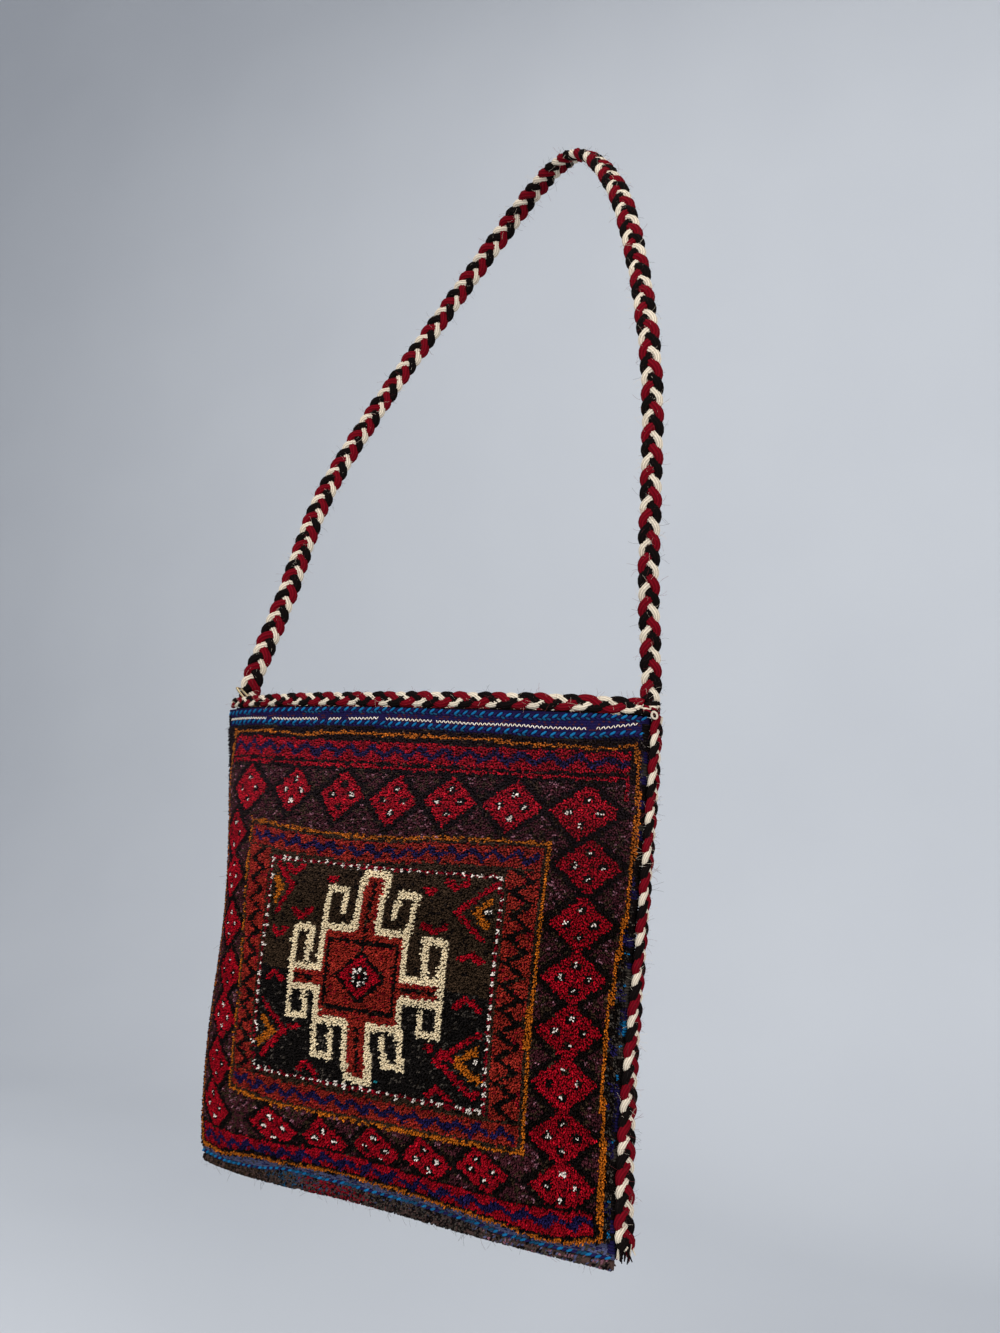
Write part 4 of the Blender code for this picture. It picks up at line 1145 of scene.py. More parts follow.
def knot_places():
    """Every knot's share across and down, and its lengths over the cloth in millimetres."""
    rows = []
    for depth in np.arange(PILE_TOP, PILE_BOTTOM, KNOT_ROW):
        shares, arc = arc_table(-1, depth / WOVEN_HEIGHT, CLOTH / 2 + PILE)
        places = (np.arange(KNOT_COLUMNS) + 0.5) / KNOT_COLUMNS * (arc[-1] - 2 * SEAM_MARGIN) + SEAM_MARGIN
        rows.append((np.interp(places, arc, shares), np.full(KNOT_COLUMNS, depth / WOVEN_HEIGHT),
                     places / MM, (arc[-1] - places) / MM))
    across, down, left, right = [np.concatenate(part) for part in zip(*rows)]
    depth = down * WOVEN_HEIGHT / MM
    piled = depth > np.interp(left, ROW_PLACES, LOWER_ROW) + 2.3
    piled &= depth < np.interp(left, BOTTOM_PLACES, BOTTOM_EDGE) + 1.6
    return across[piled], down[piled], left[piled], right[piled]


knot_across, knot_down, knot_left, knot_right = knot_places()
knot_colour = paint_face(knot_left, knot_right, knot_down * WOVEN_HEIGHT / MM)
print(len(knot_across), "knots")


def pile_drift(rng):
    """How light each knot is against its yarn: broad bands, small patches and single knots."""
    depth = knot_down * WOVEN_HEIGHT / MM
    drift = 1 + 0.10 * np.sin(knot_down * 37.0 + 1.3) + 0.05 * np.sin(knot_down * 91.0 + knot_across * 4)
    drift *= 1 + (0.14 * np.sin(knot_left * 1.1 + 3 * np.sin(depth * 0.31))
                  * np.sin(depth * 0.9 + 2 * np.sin(knot_left * 0.27)))
    return drift * np.exp(rng.normal(0, 0.22, len(drift)))


def plant_tips(place, chosen, drift, rng):
    """One tip of every chosen knot: where it stands, which way it leans, its size and its colour."""
    count = int(chosen.sum())
    normal, along, fall = cloth_frame(-1, knot_across[chosen], knot_down[chosen])
    root = MOUTH + cloth_points(-1, knot_across[chosen], knot_down[chosen]) + normal * (CLOTH / 2 - ROOT_DEPTH)
    offset = place * MM + rng.normal(0, 0.20 * MM, count)
    wander = rng.normal(0, 0.46 * MM, count)
    lean = rng.normal(0, 0.13, (count, 2))
    turn = rng.uniform(0, 2 * math.pi, (count, 1))
    size = [rng.uniform(low, high, count) for low, high in ((0.56, 0.80), (0.60, 0.88), (2.7, 3.9))]
    # Upper knots are made paler and pinker, more so towards the mouth.
    pale_top = np.clip((PALE_TOP_DEPTH - knot_down[chosen]) / 0.25, 0, 1)
    colour = YARN_COLOURS[knot_colour[chosen]].copy()
    calm = 1 - 0.65 * np.clip(colour[:, 1] / 0.5, 0, 1)
    tone = np.exp(rng.normal(-0.05, 0.26 + 0.10 * pale_top) * calm) * drift[chosen] ** calm
    colour[:, :3] = colour[:, :3] * tone[:, None] + pale_top[:, None] * PALE_TOP_TINT
    return (root + along * offset[:, None] + fall * wander[:, None],
            unit(normal + along * lean[:, :1] + fall * (0.22 + lean[:, 1:])),
            along * np.cos(turn) + fall * np.sin(turn), np.stack(size, axis=1) * MM, colour)


def plant_pile():
    rng = np.random.default_rng(11)
    drift = pile_drift(rng)
    strips = []
    for strip in range(PILE_STRIPS):
        chosen = (knot_across * PILE_STRIPS).astype(int) == strip
        tips = [plant_tips(place, chosen, drift, rng) for place in TIPS_OF_A_KNOT]
        parts = [np.concatenate(part) for part in zip(*tips)]
        strips.append(dress(scatter(f"pile_strip_{strip + 1}", TIP_TREE, *parts, pile_wool), "rug_pile"))
    return strips


pile_strips = plant_pile()

# %% [markdown]
# Above and below the pile the rug ends in flat-woven strips. Two rows of bright blue twining run along the
# mouth, with a thin cream zigzag between them, and one row runs along the bottom. Twining is a pair of
# yarns turned round each other, so every stitch shows as a short slanting bead. The same kind of tree as for
# the pile sets them, with a plumper shape.

# %% Twined rows and the zigzag line
TWINED_PLACES = (0, 35, 56, 82, 103, 121, 139, 158, 175, 192, 213, 258, 277, 302)
TWINED_ROW = (338, 337.6, 335.5, 332.0, 327.5, 326.8, 327.6, 327.0, 328.2, 328.8, 329.5, 333.5, 337.2, 338.0)
BEAD_FLATNESS = 0.42
BROKEN_PLACES = ((0.15, 0.17), (0.30, 0.33), (0.36, 0.38), (0.45, 0.47), (0.58, 0.59), (0.90, 0.92))
LOWER_ROWS = 7


def stitch_row(places_known, depths, pitch, length, thickness, slant, lift, colours, seed, start=2.0, stop=2.0,
               alternate=False):
    """Stitches along a row of the face, turned by slant from its direction. Sizes in millimetres."""
    rng = np.random.default_rng(seed)
    shares, arc = arc_table(-1, np.mean(depths) * MM / WOVEN_HEIGHT, CLOTH / 2)
    places = np.arange(start * MM, arc[-1] - stop * MM, pitch * MM)
    count = len(places)
    across = np.interp(places, arc, shares)
    depth = np.interp(places / MM, places_known, depths) + rng.normal(0, 0.10, count)
    down = np.clip(depth * MM / WOVEN_HEIGHT, 0, 1)
    normal, along, fall = cloth_frame(-1, across, down)
    turn = np.radians(slant + rng.normal(0, 3, count))
    if alternate:
        turn = turn * np.where(np.arange(count) % 2, 1.0, -1.0)
    heading = along * np.cos(turn)[:, None] - fall * np.sin(turn)[:, None]
    size = np.stack([length / 2 * rng.uniform(0.92, 1.08, count), thickness / 2 * rng.uniform(0.9, 1.1, count),
                     np.full(count, thickness * BEAD_FLATNESS)], axis=1) * MM
    tint = YARN_COLOURS[np.array([yarn(c) for c in colours])[rng.integers(0, len(colours), count)]]
    tint[:, :3] *= rng.uniform(0.85, 1.15, (count, 1))
    return lifted(-1, across, down, CLOTH / 2 + lift * MM), normal, heading, size, tint


def gather(name, rows):
    """One piece made of many rows of stitches."""
    return scatter(name, BEAD_TREE, *[np.concatenate(part) for part in zip(*rows)], stitch_wool)


def without(row, gaps):
    """Leaves out the stitches in each gap, given as shares of the row."""
    place = np.arange(len(row[0])) / len(row[0])
    keep = ~np.any([(place > low) & (place < high) for low, high in gaps], axis=0)
    return tuple(part[keep] for part in row)


def arrow_row(depths, seed):
    """Twining in two colours whose stitches meet as arrowheads that point left."""
    depths = np.array(depths)
    rows = []
    for k, (colour, shift) in enumerate((("blue", 0.0), ("navy", 3.3))):
        rows.append(stitch_row(ROW_PLACES, depths - 0.7, 6.6, 5.6, 1.9, 36, 0.5, [colour], seed + k,
                               start=2.6 + shift))
        rows.append(stitch_row(ROW_PLACES, depths + 1.3, 6.6, 3.9, 1.6, -24, 0.4, ["teal", "navy", "navy"],
                               seed + k + 2, start=2.0 + shift))
    return rows


top_rows = arrow_row(UPPER_ROW, 1) + arrow_row(LOWER_ROW, 11)
for k, share in enumerate((0.28, 0.42, 0.58, 0.72)):
    depths = np.array(UPPER_ROW) * (1 - share) + np.array(LOWER_ROW) * share
    top_rows.append(stitch_row(ROW_PLACES, depths, 1.9, 2.3, 1.1, 0, -0.1, ["navy", "navy", "navy", "plum"],
                               20 + k, start=2.0 + (k % 2)))
zigzag_stitches = stitch_row(ROW_PLACES, ZIGZAG_ROW, 1.6, 2.7, 0.68, 56, 0.4,
                             ["white", "white", "ivory", "ivory"], 30, start=4.0, stop=8.0, alternate=True)
top_rows.append(without(zigzag_stitches, BROKEN_PLACES))
bottom_rows = []
for k, (colour, shift) in enumerate((("blue", 0.0), ("navy", 3.2))):
    bottom_rows.append(stitch_row(TWINED_PLACES, TWINED_ROW, 6.4, 5.6, 2.0, 24, 0.6, [colour, colour, "teal"],
                                  40 + k, start=2.5 + shift))
for k in range(LOWER_ROWS):
    share = (k + 0.6) / LOWER_ROWS
    depths = np.interp(TWINED_PLACES, BOTTOM_PLACES, BOTTOM_EDGE) * (1 - share) + np.array(TWINED_ROW) * share
    bottom_rows.append(stitch_row(TWINED_PLACES, depths + 1.0, 2.1, 2.5, 1.2, 0, -0.1,
                                  ["slate", "slate", "slate", "navy", "grey"], 50 + k, start=2.0 + (k % 2)))
top_stitches = dress(gather("mouth_twining", top_rows), "rug_pile")
bottom_stitches = dress(gather("bottom_twining", bottom_rows), "rug_pile")

# %% [markdown]
# The plaits that edge the bag are thinner than the strap but made the same way, so the same function makes
# them. Along the mouth the plait lies on the edge of the cloth with its width upright. On the right it
# stands outside the seam, and on the left it lies on the back, beside the seam.

# %% Edge plaits
EDGE_STRAND = 0.0031
RIM_PLAIT_HEIGHT = 0.0115
RIM_PLAIT_THICKNESS = 0.0072
RIM_SINK = 0.0006
RIM_GROWTH = (-0.0026, -0.0006, 0.0008, 0.0010, 0.0010)
RIM_PERIODS = (0.0232, 0.0332)
RIM_PHASE = 2.2
RIM_COUNT = 120
KNOT_SPACE = 0.0150 / 2 + 0.0022
RIM_LEFT_INSET = 0.0030
SIDE_PERIOD = 0.0258
SIDE_PHASE = 0.4
SIDE_COUNT = 90
RIGHT_PLAIT_TURNS = np.radians((-4.0, -8.0, -12.0, 10.0, 22.0, 28.0))
RIGHT_PLAIT_INSET = 0.0012
RIGHT_TOP_SHARE = 0.80
PLAIT_CLEARANCE = 0.0020
TAIL_LENGTH = 0.0110
SHOWN_TURN = 0.22
HEM_HEIGHT = 0.0070


def seam_reach(edge, down):
    """How far out along X the edges of both cloths come at a side seam; edge is 0 left, 1 right."""
    outward = 1.0 if edge == 1 else -1.0
    ends = [(lifted(side, edge, down, lift) - MOUTH)[..., 0] * outward
            for side in (-1, 1) for lift in (-CLOTH / 2, CLOTH / 2)]
    return np.max(ends, axis=0)


def between_cloths(across, down):
    return (cloth_points(-1, across, down) + cloth_points(1, across, down)) / 2


def mouth_edge(side, x):
    """Points of the mouth's edge on one side, at these places along X."""
    return cloth_points(side, (x - LEFT_SEAM_X[0]) / (RIGHT_SEAM_X[0] - LEFT_SEAM_X[0]), 0.0)


def right_plait_points(down):
    turn = smooth(down, HEIGHT_SHARES, RIGHT_PLAIT_TURNS)
    centre = between_cloths(1, down)
    centre[..., 0] = seam_reach(1, down) + BINDING + 2 * GAP + SIDE_PLAIT_THICKNESS / 2
    centre[..., 0] += SIDE_PLAIT_WIDTH / 2 * (1 - np.cos(turn)) + PLAIT_CLEARANCE * np.abs(np.sin(turn))
    return centre, np.stack([np.sin(turn), np.cos(turn), np.zeros(np.shape(down))], axis=-1)


def make_side_plaits():
    """Each side plait, with the place and the width direction of its lower end."""
    down = np.linspace(0, 1 - (TAIL_LENGTH - HEM_HEIGHT / 2) / WOVEN_HEIGHT, SIDE_COUNT)
    ends = {}
    for name, places, facing in (("right", right_plait_points, 1), ("left", left_plait_points, -1)):
        centre, wide = places(down)
        centre[0, 2] = TAPE_TOP
        widths = SIDE_PLAIT_WIDTH
        if name == "right":
            wide = unit(wide + np.array((SHOWN_TURN, 0.0, 0.0)))
            centre[:, 0] -= RIGHT_PLAIT_INSET
            widths = (SIDE_PLAIT_WIDTH * RIGHT_TOP_SHARE, SIDE_PLAIT_WIDTH)
        plait, _ = make_plait(f"side_plait_{name}_wool", centre + MOUTH, wide, widths, SIDE_PLAIT_THICKNESS,
                              EDGE_STRAND, SIDE_PERIOD, facing, SIDE_PHASE)
        dress(plait, "side_plait_wool", f"side_plait_{name}")
        ends[name] = (plait, centre[-1] + MOUTH, wide[-1])
    return ends


def make_rim_plaits():
    plaits = []
    heights = RIM_PLAIT_HEIGHT + np.array(RIM_GROWTH)
    grown = np.interp(np.linspace(0, 1, RIM_COUNT), np.linspace(0, 1, len(heights)), heights)
    upright = np.tile((0.0, 0.0, 1.0), (RIM_COUNT, 1))
    for side, name, start in ((-1, "front", LEFT_SEAM_X[0] + RIM_LEFT_INSET),
                              (1, "back", LEFT_KNOT[0] + KNOT_SPACE)):
        points = mouth_edge(side, np.linspace(start, RIGHT_KNOT[0] - KNOT_SPACE / 3, RIM_COUNT))
        points[:, 2] = RIM_BASE - RIM_SINK + grown / 2
        plait, _ = make_plait(f"rim_plait_{name}_wool", points + MOUTH, upright, heights, RIM_PLAIT_THICKNESS,
                              EDGE_STRAND, RIM_PERIODS, side, RIM_PHASE)
        plaits.append(dress(plait, "plait_wool", f"rim_plait_{name}"))
    return plaits


side_plaits = make_side_plaits()
rim_plaits = make_rim_plaits()

# %% [markdown]
# Where strap, rim and side plaits meet, yarn is wound round them, and the side plaits end in short cut
# tails. Both are made with the tree that sweeps yarn: the winding follows a rising oval, and each tail is
# a bundle of short bent yarns.

# %% Corner knots and tails
WOUND_YARN = 0.0022
CORE_RADIUS = 0.0042
CORE_INSET = 0.0012
LOOP_YARN = 0.0008
TAIL_YARNS = 30
TAIL_COLOURS = ("black", "black", "deep red", "black", "ivory", "black")


def winding(k, count):
    """One turn of yarn round the knot, slanting against the turn below it."""
    angle = np.linspace(0, 2.06 * math.pi, 44) + 1.3 * k
    height = 0.0022 + 0.0046 * k / (count - 1) + 0.0013 * (-1) ** k * np.cos(angle)
    return np.stack([0.0054 * np.cos(angle), 0.0041 * np.sin(angle), height], axis=1)


def loose_end(rng):
    """A short bent yarn that comes out of the knot."""
    share = np.linspace(0, 1, 14)[:, None]
    out = unit(np.array((rng.uniform(0.6, 1.0), rng.uniform(-0.4, 0.4), rng.uniform(0.0, 1.0))))
    curl = unit(np.cross(out, rng.normal(0, 1, 3)))
    reach = rng.uniform(0.004, 0.007)
    root = np.array((0, 0, 0.0045)) + out * 0.0045
    return root + out * reach * share + curl * 0.0022 * np.sin(share * rng.uniform(2, 5))


def small_loop():
    """A loop of yarn in front of the knot."""
    angle = np.linspace(0, 2 * math.pi, 24)
    bulge = 1 + 0.18 * np.cos(2 * angle + 0.8)
    ring = np.stack([0.8 * np.cos(angle) * bulge, 0.3 * np.cos(angle), 1.3 * np.sin(angle) * bulge], axis=1)
    return np.array((0.0056, -0.0048, 0.0)) + 0.0019 * ring


def make_knot(name, centre, colours, node, ends, seed, loop=False):
    """Yarns wound slantwise over each other round a core, with a few loose ends."""
    rng = np.random.default_rng(seed)
    yarns = [(winding(k, len(colours)), WOUND_YARN, colour) for k, colour in enumerate(colours)]
    core = np.linspace((0, 0, CORE_INSET), (0, 0, KNOT_HEIGHT - CORE_INSET), 9)
    yarns.append((core, CORE_RADIUS, colours[0]))
    for k in range(ends):
        yarns.append((loose_end(rng), np.linspace(0.0007, 0.0003, 14), "ivory" if k % 3 else "grey"))
    if loop:
        yarns.append((small_loop(), LOOP_YARN, "ivory"))
    lines = [line + centre + MOUTH for line, _, _ in yarns]
    radii = [np.broadcast_to(radius, (len(line),)) for line, radius, _ in yarns]
    tilts = [np.linspace(0, 9, len(line)) for line in lines]
    shades = [yarn(colour) for _, _, colour in yarns]
    knot = sweep_yarn(name, lines, radii, tilts, shades, plait_wool, sides=15, lobes=5, groove=0.16)
    print(name, "triangles", triangles(knot))
    return dress(knot, "knot_yarn", node)


def make_tail(name, top, wide, node, seed):
    """The cut ends of a side plait."""
    rng = np.random.default_rng(seed)
    thick = np.cross(wide, (0, 0, 1.0))
    share = np.linspace(0, 1, 8)[:, None]
    lines = []
    for _ in range(TAIL_YARNS):
        across, through = rng.uniform(-1, 1), rng.uniform(-1, 1)
        start = top + wide * across * 0.0050 + thick * through * 0.0022 + np.array((0, 0, 0.0030))
        length = TAIL_LENGTH * rng.uniform(0.6, 1.1)
        bend = wide * (across * 0.0006 + rng.normal(0, 0.0012)) + thick * rng.normal(0, 0.0012)
        lines.append(start + share * np.array((0, 0, -length)) + bend * share**2)
    colours = [yarn(TAIL_COLOURS[k % len(TAIL_COLOURS)]) for k in range(TAIL_YARNS)]
    radii = [np.linspace(0.00115, 0.0004, 8)] * TAIL_YARNS
    tilts = [np.linspace(0, 3, 8)] * TAIL_YARNS
    tail = sweep_yarn(name, lines, radii, tilts, colours, plait_wool, sides=9, lobes=3, groove=0.2)
    print(name, "triangles", triangles(tail))
    return dress(tail, "side_plait_wool", node)


right_knot = make_knot("corner_knot_right_yarn", RIGHT_KNOT, ("black", "deep red", "ivory", "deep red", "black"),
                       "corner_knot_right", 4, 20, loop=True)
make_knot("corner_knot_left_yarn", LEFT_KNOT, ("deep red", "ivory", "black", "deep red", "black"),
          "corner_knot_left", 3, 30)
for name, (_, end, wide) in side_plaits.items():
    make_tail(f"plait_tail_{name}_wool", end, wide, f"plait_tail_{name}", 40)

# %% [markdown]
# The side seams are overcast: yarn goes round both edges again and again. That is one long spiral whose
# oval follows the seam, and its colour changes where the maker took up the next yarn.

# %% Overcast side seams
BINDING_REACH = 0.0042
BINDING_PITCH = 0.0020
BINDING_RADIUS = 0.00115
BINDING_TOP, BINDING_BOTTOM = 0.012, 0.988
POINTS_A_TURN = 14
STEEPEST = 0.35


def binding_yarns(edge, turns):
    """The yarn of each turn: a few turns of one yarn, then of the next."""
    rng = np.random.default_rng(5 + edge)
    blocks = np.repeat(rng.integers(0, 100, turns), rng.integers(2, 6, turns))[:turns]
    if edge == 0:
        return np.where(blocks < 85, yarn("black"), yarn("brown"))
    tones = np.where(blocks < 42, yarn("navy"), np.where(blocks < 80, yarn("black"), yarn("grey")))
    lower = np.arange(turns) / turns > 0.55
    return np.where(lower & (blocks > 84), yarn("blue"), tones)


def make_binding(edge, name, node):
    """One spiral of yarn round both cloths at a seam."""
    outward = 1.0 if edge == 1 else -1.0
    turns = int((BINDING_BOTTOM - BINDING_TOP) * WOVEN_HEIGHT / BINDING_PITCH)
    share = np.linspace(0, 1, turns * POINTS_A_TURN)
    down = BINDING_TOP + share * (BINDING_BOTTOM - BINDING_TOP)
    angle = share * turns * 2 * math.pi
    swing = np.sin(angle)
    reach = seam_reach(edge, down)
    line = between_cloths(edge, down)
    line[:, 0] = outward * (reach - BINDING_REACH / 2 * (1 - np.cos(angle)))
    _, along, _ = cloth_frame(-1, edge, down)
    skew = (line[:, 0] - outward * reach) * along[:, 1] / np.maximum(np.abs(along[:, 0]), STEEPEST)
    line[:, 1] += swing * (SEAM_HALF_GAP + CLOTH / 2 + GAP + BINDING_RADIUS * 0.6)
    line[:, 1] += np.where(swing < 0, skew * 0.9, 0.0)
    colours = binding_yarns(edge, turns)[np.minimum((share * turns).astype(int), turns - 1)]
    binding = sweep_yarn(name, [line + MOUTH], [np.full(len(line), BINDING_RADIUS)], [angle * 0.3], [colours],
                         plait_wool, sides=7, lobes=2, groove=0.2)
    print(name, "triangles", triangles(binding))
    return dress(binding, "binding_yarn", node)


right_binding = make_binding(1, "right_seam_overcast", "side_binding_right")
left_binding = make_binding(0, "left_seam_overcast", "side_binding_left")

# %% [markdown]
# The bottom hem is rough: raw edges rolled together and sewn over with whatever yarn was at hand. Lumps of
# many colours, packed close along a rolled edge, give that look, with stray fibres hanging from them.

# %% Hem
HEM_THICKNESS = 0.0085
ROLL_STITCHES = 2300
FLAP_STITCHES = 2600
HEM_END = 340.2                # how far down the stitches on the cloth reach, in millimetres
HEM_ZONES = (
    # the zone's right end, in millimetres from the left seam, and its yarns
    (85, ("hem brown", "brown", "black")), (118, ("black", "teal", "grey", "hem brown")),
    (165, ("deep red", "deep red", "black", "hem brown")), (262, ("hem brown", "grey", "black", "black")),
    (9999, ("black", "grey", "slate", "dusty rose", "hem brown")))


def hem_middle(across):
    """Middle of the roll under both cloths, tucked up a little between them."""
    tuck = 0.0034 * np.exp(-((across - 0.42) / 0.24) ** 2)
    middle = between_cloths(across, 1.0)
    middle[:, 2] += tuck - HEM_HEIGHT / 2 - GAP
    return middle


def hem_lumps(points, out, along, across, rng):
    """Short stitches that lie every way, in the colours of their part of the hem."""
    count = len(across)
    turn = rng.normal(0.9, 0.45, count)
    heading = unit(along * np.cos(turn)[:, None] + np.cross(out, along) * np.sin(turn)[:, None])
    size = [rng.uniform(low, high, count) for low, high in ((1.1, 2.0), (0.55, 0.95), (0.5, 0.9))]
    shifted = across * 353 + rng.normal(0, 9, count)
    names = [[names for end, names in HEM_ZONES if place < end][0] for place in shifted]
    tint = YARN_COLOURS[[yarn(group[int(rng.integers(0, len(group)))]) for group in names]]
    tint[:, :3] *= rng.uniform(0.55, 1.25, (count, 1))
    return points + MOUTH, out, heading, np.stack(size, axis=1) * MM, tint


def make_hem():
    rng = np.random.default_rng(17)
    across = rng.uniform(0.006, 0.994, ROLL_STITCHES)
    _, along, _ = cloth_frame(-1, across, 1.0)
    angle = rng.uniform(-2.6, 2.6, ROLL_STITCHES)
    out = np.stack([np.zeros(ROLL_STITCHES), -np.sin(angle), -np.cos(angle)], axis=1)
    points = hem_middle(across) + out * np.array((0, HEM_THICKNESS / 2 - 0.0009, HEM_HEIGHT / 2 - 0.0004))
    roll = hem_lumps(points, out, along, across, rng)
    across = rng.uniform(0.004, 0.996, FLAP_STITCHES)
    top = np.interp(across * 366, TWINED_PLACES, TWINED_ROW) + 2.0
    down = (top + rng.uniform(0, 1, FLAP_STITCHES) * (HEM_END - top)) * MM / WOVEN_HEIGHT
    across, down = across[down < 1.0], down[down < 1.0]
    normal, along, _ = cloth_frame(-1, across, down)
    points = cloth_points(-1, across, down) + normal * (CLOTH / 2 + 0.0002)
    return gather("hem_stitches", [roll, hem_lumps(points, normal, along, across, rng)])


def make_hem_core():
    """The rolled cloth inside the stitches."""
    line = hem_middle(np.linspace(0.0045, 0.9955, 120)) + MOUTH
    return sweep_yarn("hem_roll", [line], [np.full(120, HEM_HEIGHT / 2 - 0.0003)], [np.zeros(120)],
                      [yarn("hem brown")], stitch_wool, sides=14, lobes=3, groove=0.1)


dress(make_hem_core(), "hem_cloth")
hem = dress(make_hem(), "hem_cloth", "bottom_hem")

# %% [markdown]
# The zip's cloth tapes are woven much finer than the rug. They lie level between the mouth's edges and the
# teeth. The metal parts keep the frame's own shapes, because those shapes are already right, and only get a
# finish. The brass has dulled in the hollows and keeps a shine where hands touch it; the finish spreads dull
# and bright patches at random.

# %% Zip
ZIP_LEFT = -HALF_WIDTH + 0.0085
ZIP_RIGHT = HALF_WIDTH - 0.0245
TAPE_INNER = 0.0015 + 0.0012 + 0.0010 + GAP
TAPE_ROWS, TAPE_COLUMNS = 9, 120
TAPE_SAG = 0.0005


def make_tape(side, name, node):
    x = np.linspace(ZIP_LEFT, ZIP_RIGHT, TAPE_COLUMNS)
    shares = np.linspace(0, 1, TAPE_ROWS)[:, None]
    y = side * TAPE_INNER + shares * (mouth_edge(side, x)[:, 1] - side * TAPE_INNER)
    xs = np.tile(x, (TAPE_ROWS, 1))
    sag = -TAPE_SAG * np.sin(np.pi * shares)
    low = np.stack([xs, y, np.full_like(xs, GAP) + sag], axis=-1) + MOUTH
    high = low + np.array((0, 0, TAPE_THICKNESS))
    yarns = np.full(xs.shape, yarn("black"))
    tape = shell(name, high, low, np.stack([xs, y], axis=-1), yarns, tape_weave)
    return dress(tape, "zip_tape_cotton", node)


make_tape(-1, "zip_tape_front_cloth", "zip_tape_front")
make_tape(1, "zip_tape_back_cloth", "zip_tape_back")


def mix_colours(tree, factor, low, high):
    mix = add_node(tree, "ShaderNodeMix", {"Factor": factor}, data_type="RGBA")
    mix.inputs[6].default_value = low
    mix.inputs[7].default_value = high
    return mix.outputs[2]


def brass_material(name, bright, dull, roughness, scale):
    material, tree, shader = start_material(name)
    place = add_node(tree, "ShaderNodeTexCoord").outputs["Object"]
    patch = add_node(tree, "ShaderNodeTexNoise", {"Vector": place, "Scale": scale, "Detail": 5.0,
                                                  "Roughness": 0.6}).outputs[0]
    rough = add_node(tree, "ShaderNodeMapRange", {"Value": patch, "To Min": roughness + 0.18,
                                                  "To Max": roughness - 0.06}).outputs[0]
    scratch = add_node(tree, "ShaderNodeTexNoise", {"Vector": place, "Scale": scale * 9, "Detail": 2.0})
    relief = add_node(tree, "ShaderNodeBump",
                      {"Strength": 0.12, "Distance": 0.0001, "Height": scratch.outputs[0]})
    feed(tree, shader, {"Base Color": mix_colours(tree, patch, dull, bright), "Roughness": rough,
                        "Normal": relief.outputs["Normal"]})
    shader.inputs["Metallic"].default_value = 1.0
    return material


zip_brass = brass_material("worn_zip_brass", dye(186, 152, 92), dye(104, 82, 48), 0.36, 420.0)
ring_brass = brass_material("polished_ring_brass", dye(226, 206, 162), dye(150, 128, 92), 0.18, 260.0)
for node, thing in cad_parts.items():
    if node.startswith(("zip_teeth", "zip_stop", "zip_slider")):
        thing.material_slots[0].material = zip_brass
    if node == "pull_ring":
        thing.material_slots[0].material = ring_brass
print("zip dressed")

# %% [markdown]
# Handspun wool sheds. Fine fibres stand off every plait and edge and soften its outline. Their roots are
# chosen at random from the pieces already made, and the planting tree bends one fibre over each root.

# %% Fuzz
FIBRE_LEAN = 0.6
PALE_WOOL = np.array((0.45, 0.36, 0.33))
FUZZ = (
    # the name, what it grows on, how many fibres, the longest in millimetres and how pale they are
    ("strap_fuzz", strap, 3200, 7.0, 0.1),
    ("side_plait_fuzz", side_plaits["right"][0], 900, 7.0, 0.1),
    ("left_plait_fuzz", side_plaits["left"][0], 500, 6.0, 0.0),
    ("rim_fuzz", rim_plaits[0], 900, 6.0, 0.1),
    ("knot_fuzz", right_knot, 60, 6.0, 0.1),
    ("hem_fuzz", hem, 700, 7.0, 0.05),
    ("left_edge_fuzz", left_binding, 260, 7.0, 0.0),
    ("right_edge_fuzz", right_binding, 400, 5.0, 0.0),
)


def read_vertices(collection, field, width):
    values = np.zeros(len(collection) * width)
    collection.foreach_get(field, values)
    return values.reshape(-1, width)


def grow_fuzz(name, thing, count, longest, pale, seed):
    """Fibres on random places of a piece."""
    rng = np.random.default_rng(seed)
    mesh = thing.data
    pick = rng.integers(0, len(mesh.vertices), count)
    places = read_vertices(mesh.vertices, "co", 3)[pick]
    normals = read_vertices(mesh.vertex_normals, "vector", 3)[pick]
    colours = read_vertices(mesh.attributes["yarn"].data, "color", 4)[pick]
    colours[:, :3] = colours[:, :3] * (1 - pale) + PALE_WOOL * pale
    facing = unit(normals + rng.normal(0, FIBRE_LEAN, (count, 3)))
    heading = unit(rng.normal(0, 1, (count, 3)))
    length = rng.uniform(0.35, 1.0, count) ** 1.5 * longest * MM
    size = np.repeat(length[:, None], 3, axis=1)
    dress(scatter(name, HAIR_TREE, places, facing, heading, size, colours, fuzz_wool), "knot_yarn")


for seed, row in enumerate(FUZZ, 50):
    grow_fuzz(*row, seed)

# %% [markdown]
# The backdrop is a plain pale sweep, a floor that curves up into a wall, with nothing on it. Large soft
# lamps light the wool from the front left and the right, as daylight does, and the world adds a low even
# light. Wool shows its relief best when one side is a little darker.

# %% Backdrop and light
FLOOR = MOUTH[2] - 0.62
FLOOR_FRONT = -4.0
WALL = 1.7
WALL_TOP = FLOOR + 6.0
BEND = 0.7
HALF_SWEEP = 7.0
BEND_STEPS = 12


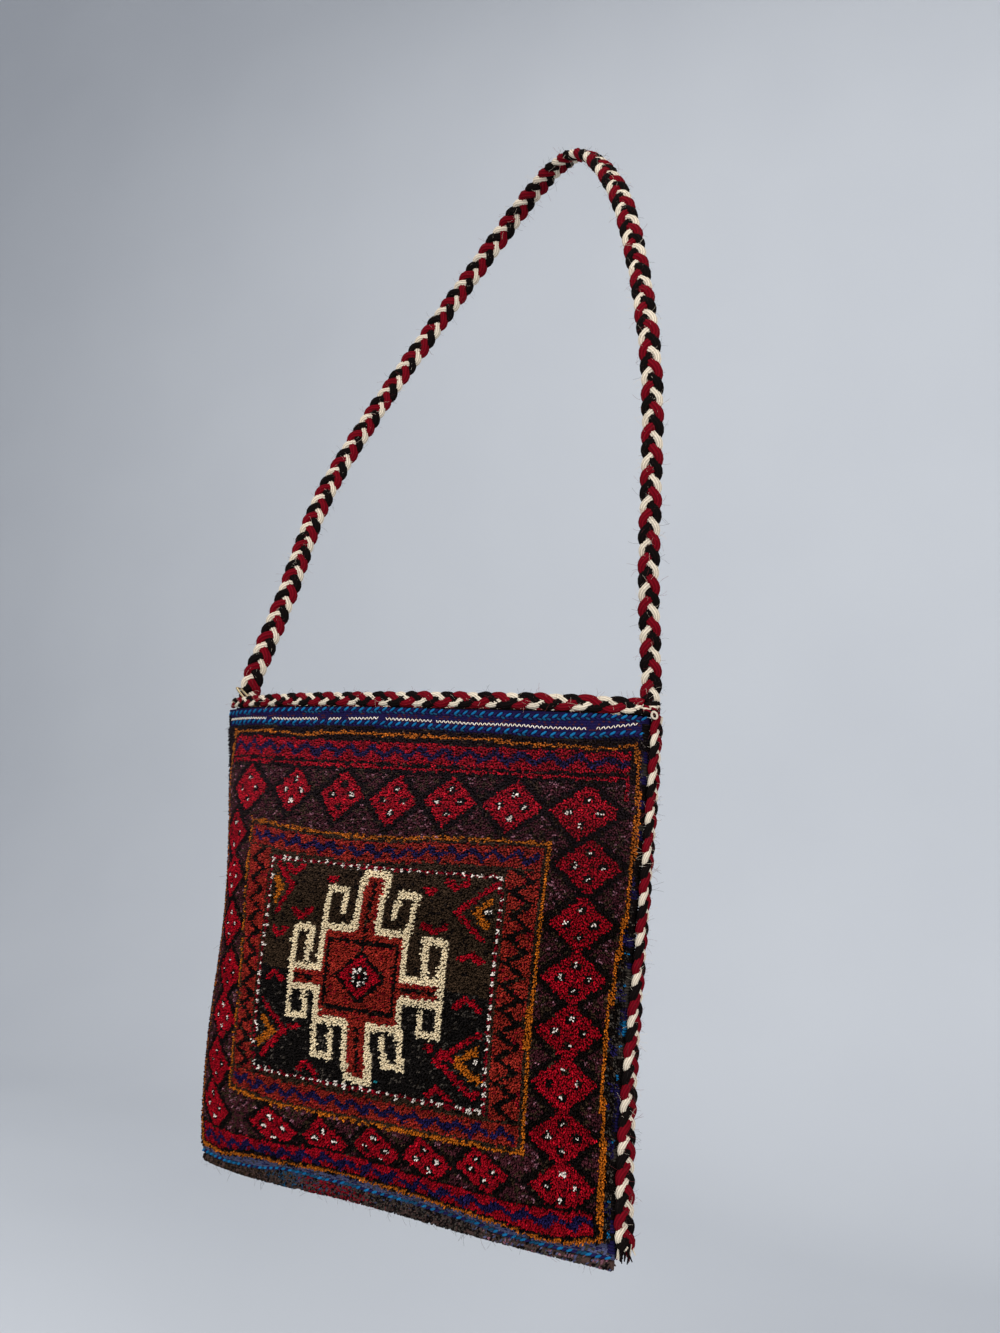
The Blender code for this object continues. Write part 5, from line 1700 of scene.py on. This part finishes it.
def make_backdrop():
    section = [(FLOOR_FRONT, FLOOR), (WALL - BEND, FLOOR)]
    for k in range(1, BEND_STEPS + 1):
        angle = k / BEND_STEPS * math.pi / 2
        section.append((WALL - BEND + BEND * math.sin(angle), FLOOR + BEND * (1 - math.cos(angle))))
    section.append((WALL, WALL_TOP))
    points = [(x, y, z) for y, z in section for x in (-HALF_SWEEP, HALF_SWEEP)]
    faces = [(2 * i, 2 * i + 1, 2 * i + 3, 2 * i + 2) for i in range(len(section) - 1)]
    backdrop = plain_mesh("backdrop", points, (), faces)
    backdrop.data.shade_smooth()
    material, tree, shader = start_material("backdrop_paper")
    place = add_node(tree, "ShaderNodeTexCoord").outputs["Object"]
    grain = add_node(tree, "ShaderNodeTexNoise", {"Vector": place, "Scale": 3.0, "Detail": 1.0}).outputs[0]
    feed(tree, shader, {"Base Color": mix_colours(tree, grain, dye(196, 199, 203), dye(202, 205, 208))})
    shader.inputs["Roughness"].default_value = 0.9
    backdrop.data.materials.append(material)


def add_lamp(name, place, aim, size, power):
    data = bpy.data.lights.new(name, "AREA")
    data.shape = "RECTANGLE"
    data.size, data.size_y = size
    data.energy = power
    lamp = bpy.data.objects.new(name, data)
    lamp.location = Vector(place)
    lamp.rotation_euler = (Vector(aim) - Vector(place)).to_track_quat("-Z", "Y").to_euler()
    bpy.context.scene.collection.objects.link(lamp)


make_backdrop()
bag_middle = MOUTH + np.array((0, 0, -0.1))
LAMPS = (
    # the name, how far it stands from the bag's middle, its size and its power
    ("window_left", (-1.0, -1.9, 1.2), (1.3, 1.3), 34.0),
    ("window_right", (1.5, -1.4, 0.6), (1.2, 1.6), 34.0),
    ("ceiling", (0.0, 0.0, 2.4), (3.0, 2.0), 20.0),
)
for name, away, size, power in LAMPS:
    add_lamp(name, bag_middle + np.array(away), bag_middle, size, power)
world = bpy.data.worlds.new("soft_room")
world.use_nodes = True
world.node_tree.nodes["Background"].inputs["Color"].default_value = (0.86, 0.9, 1.0, 1.0)
world.node_tree.nodes["Background"].inputs["Strength"].default_value = 0.45
bpy.context.scene.world = world
bpy.context.scene.view_settings.view_transform = "Standard"
print("lamps", len(LAMPS))
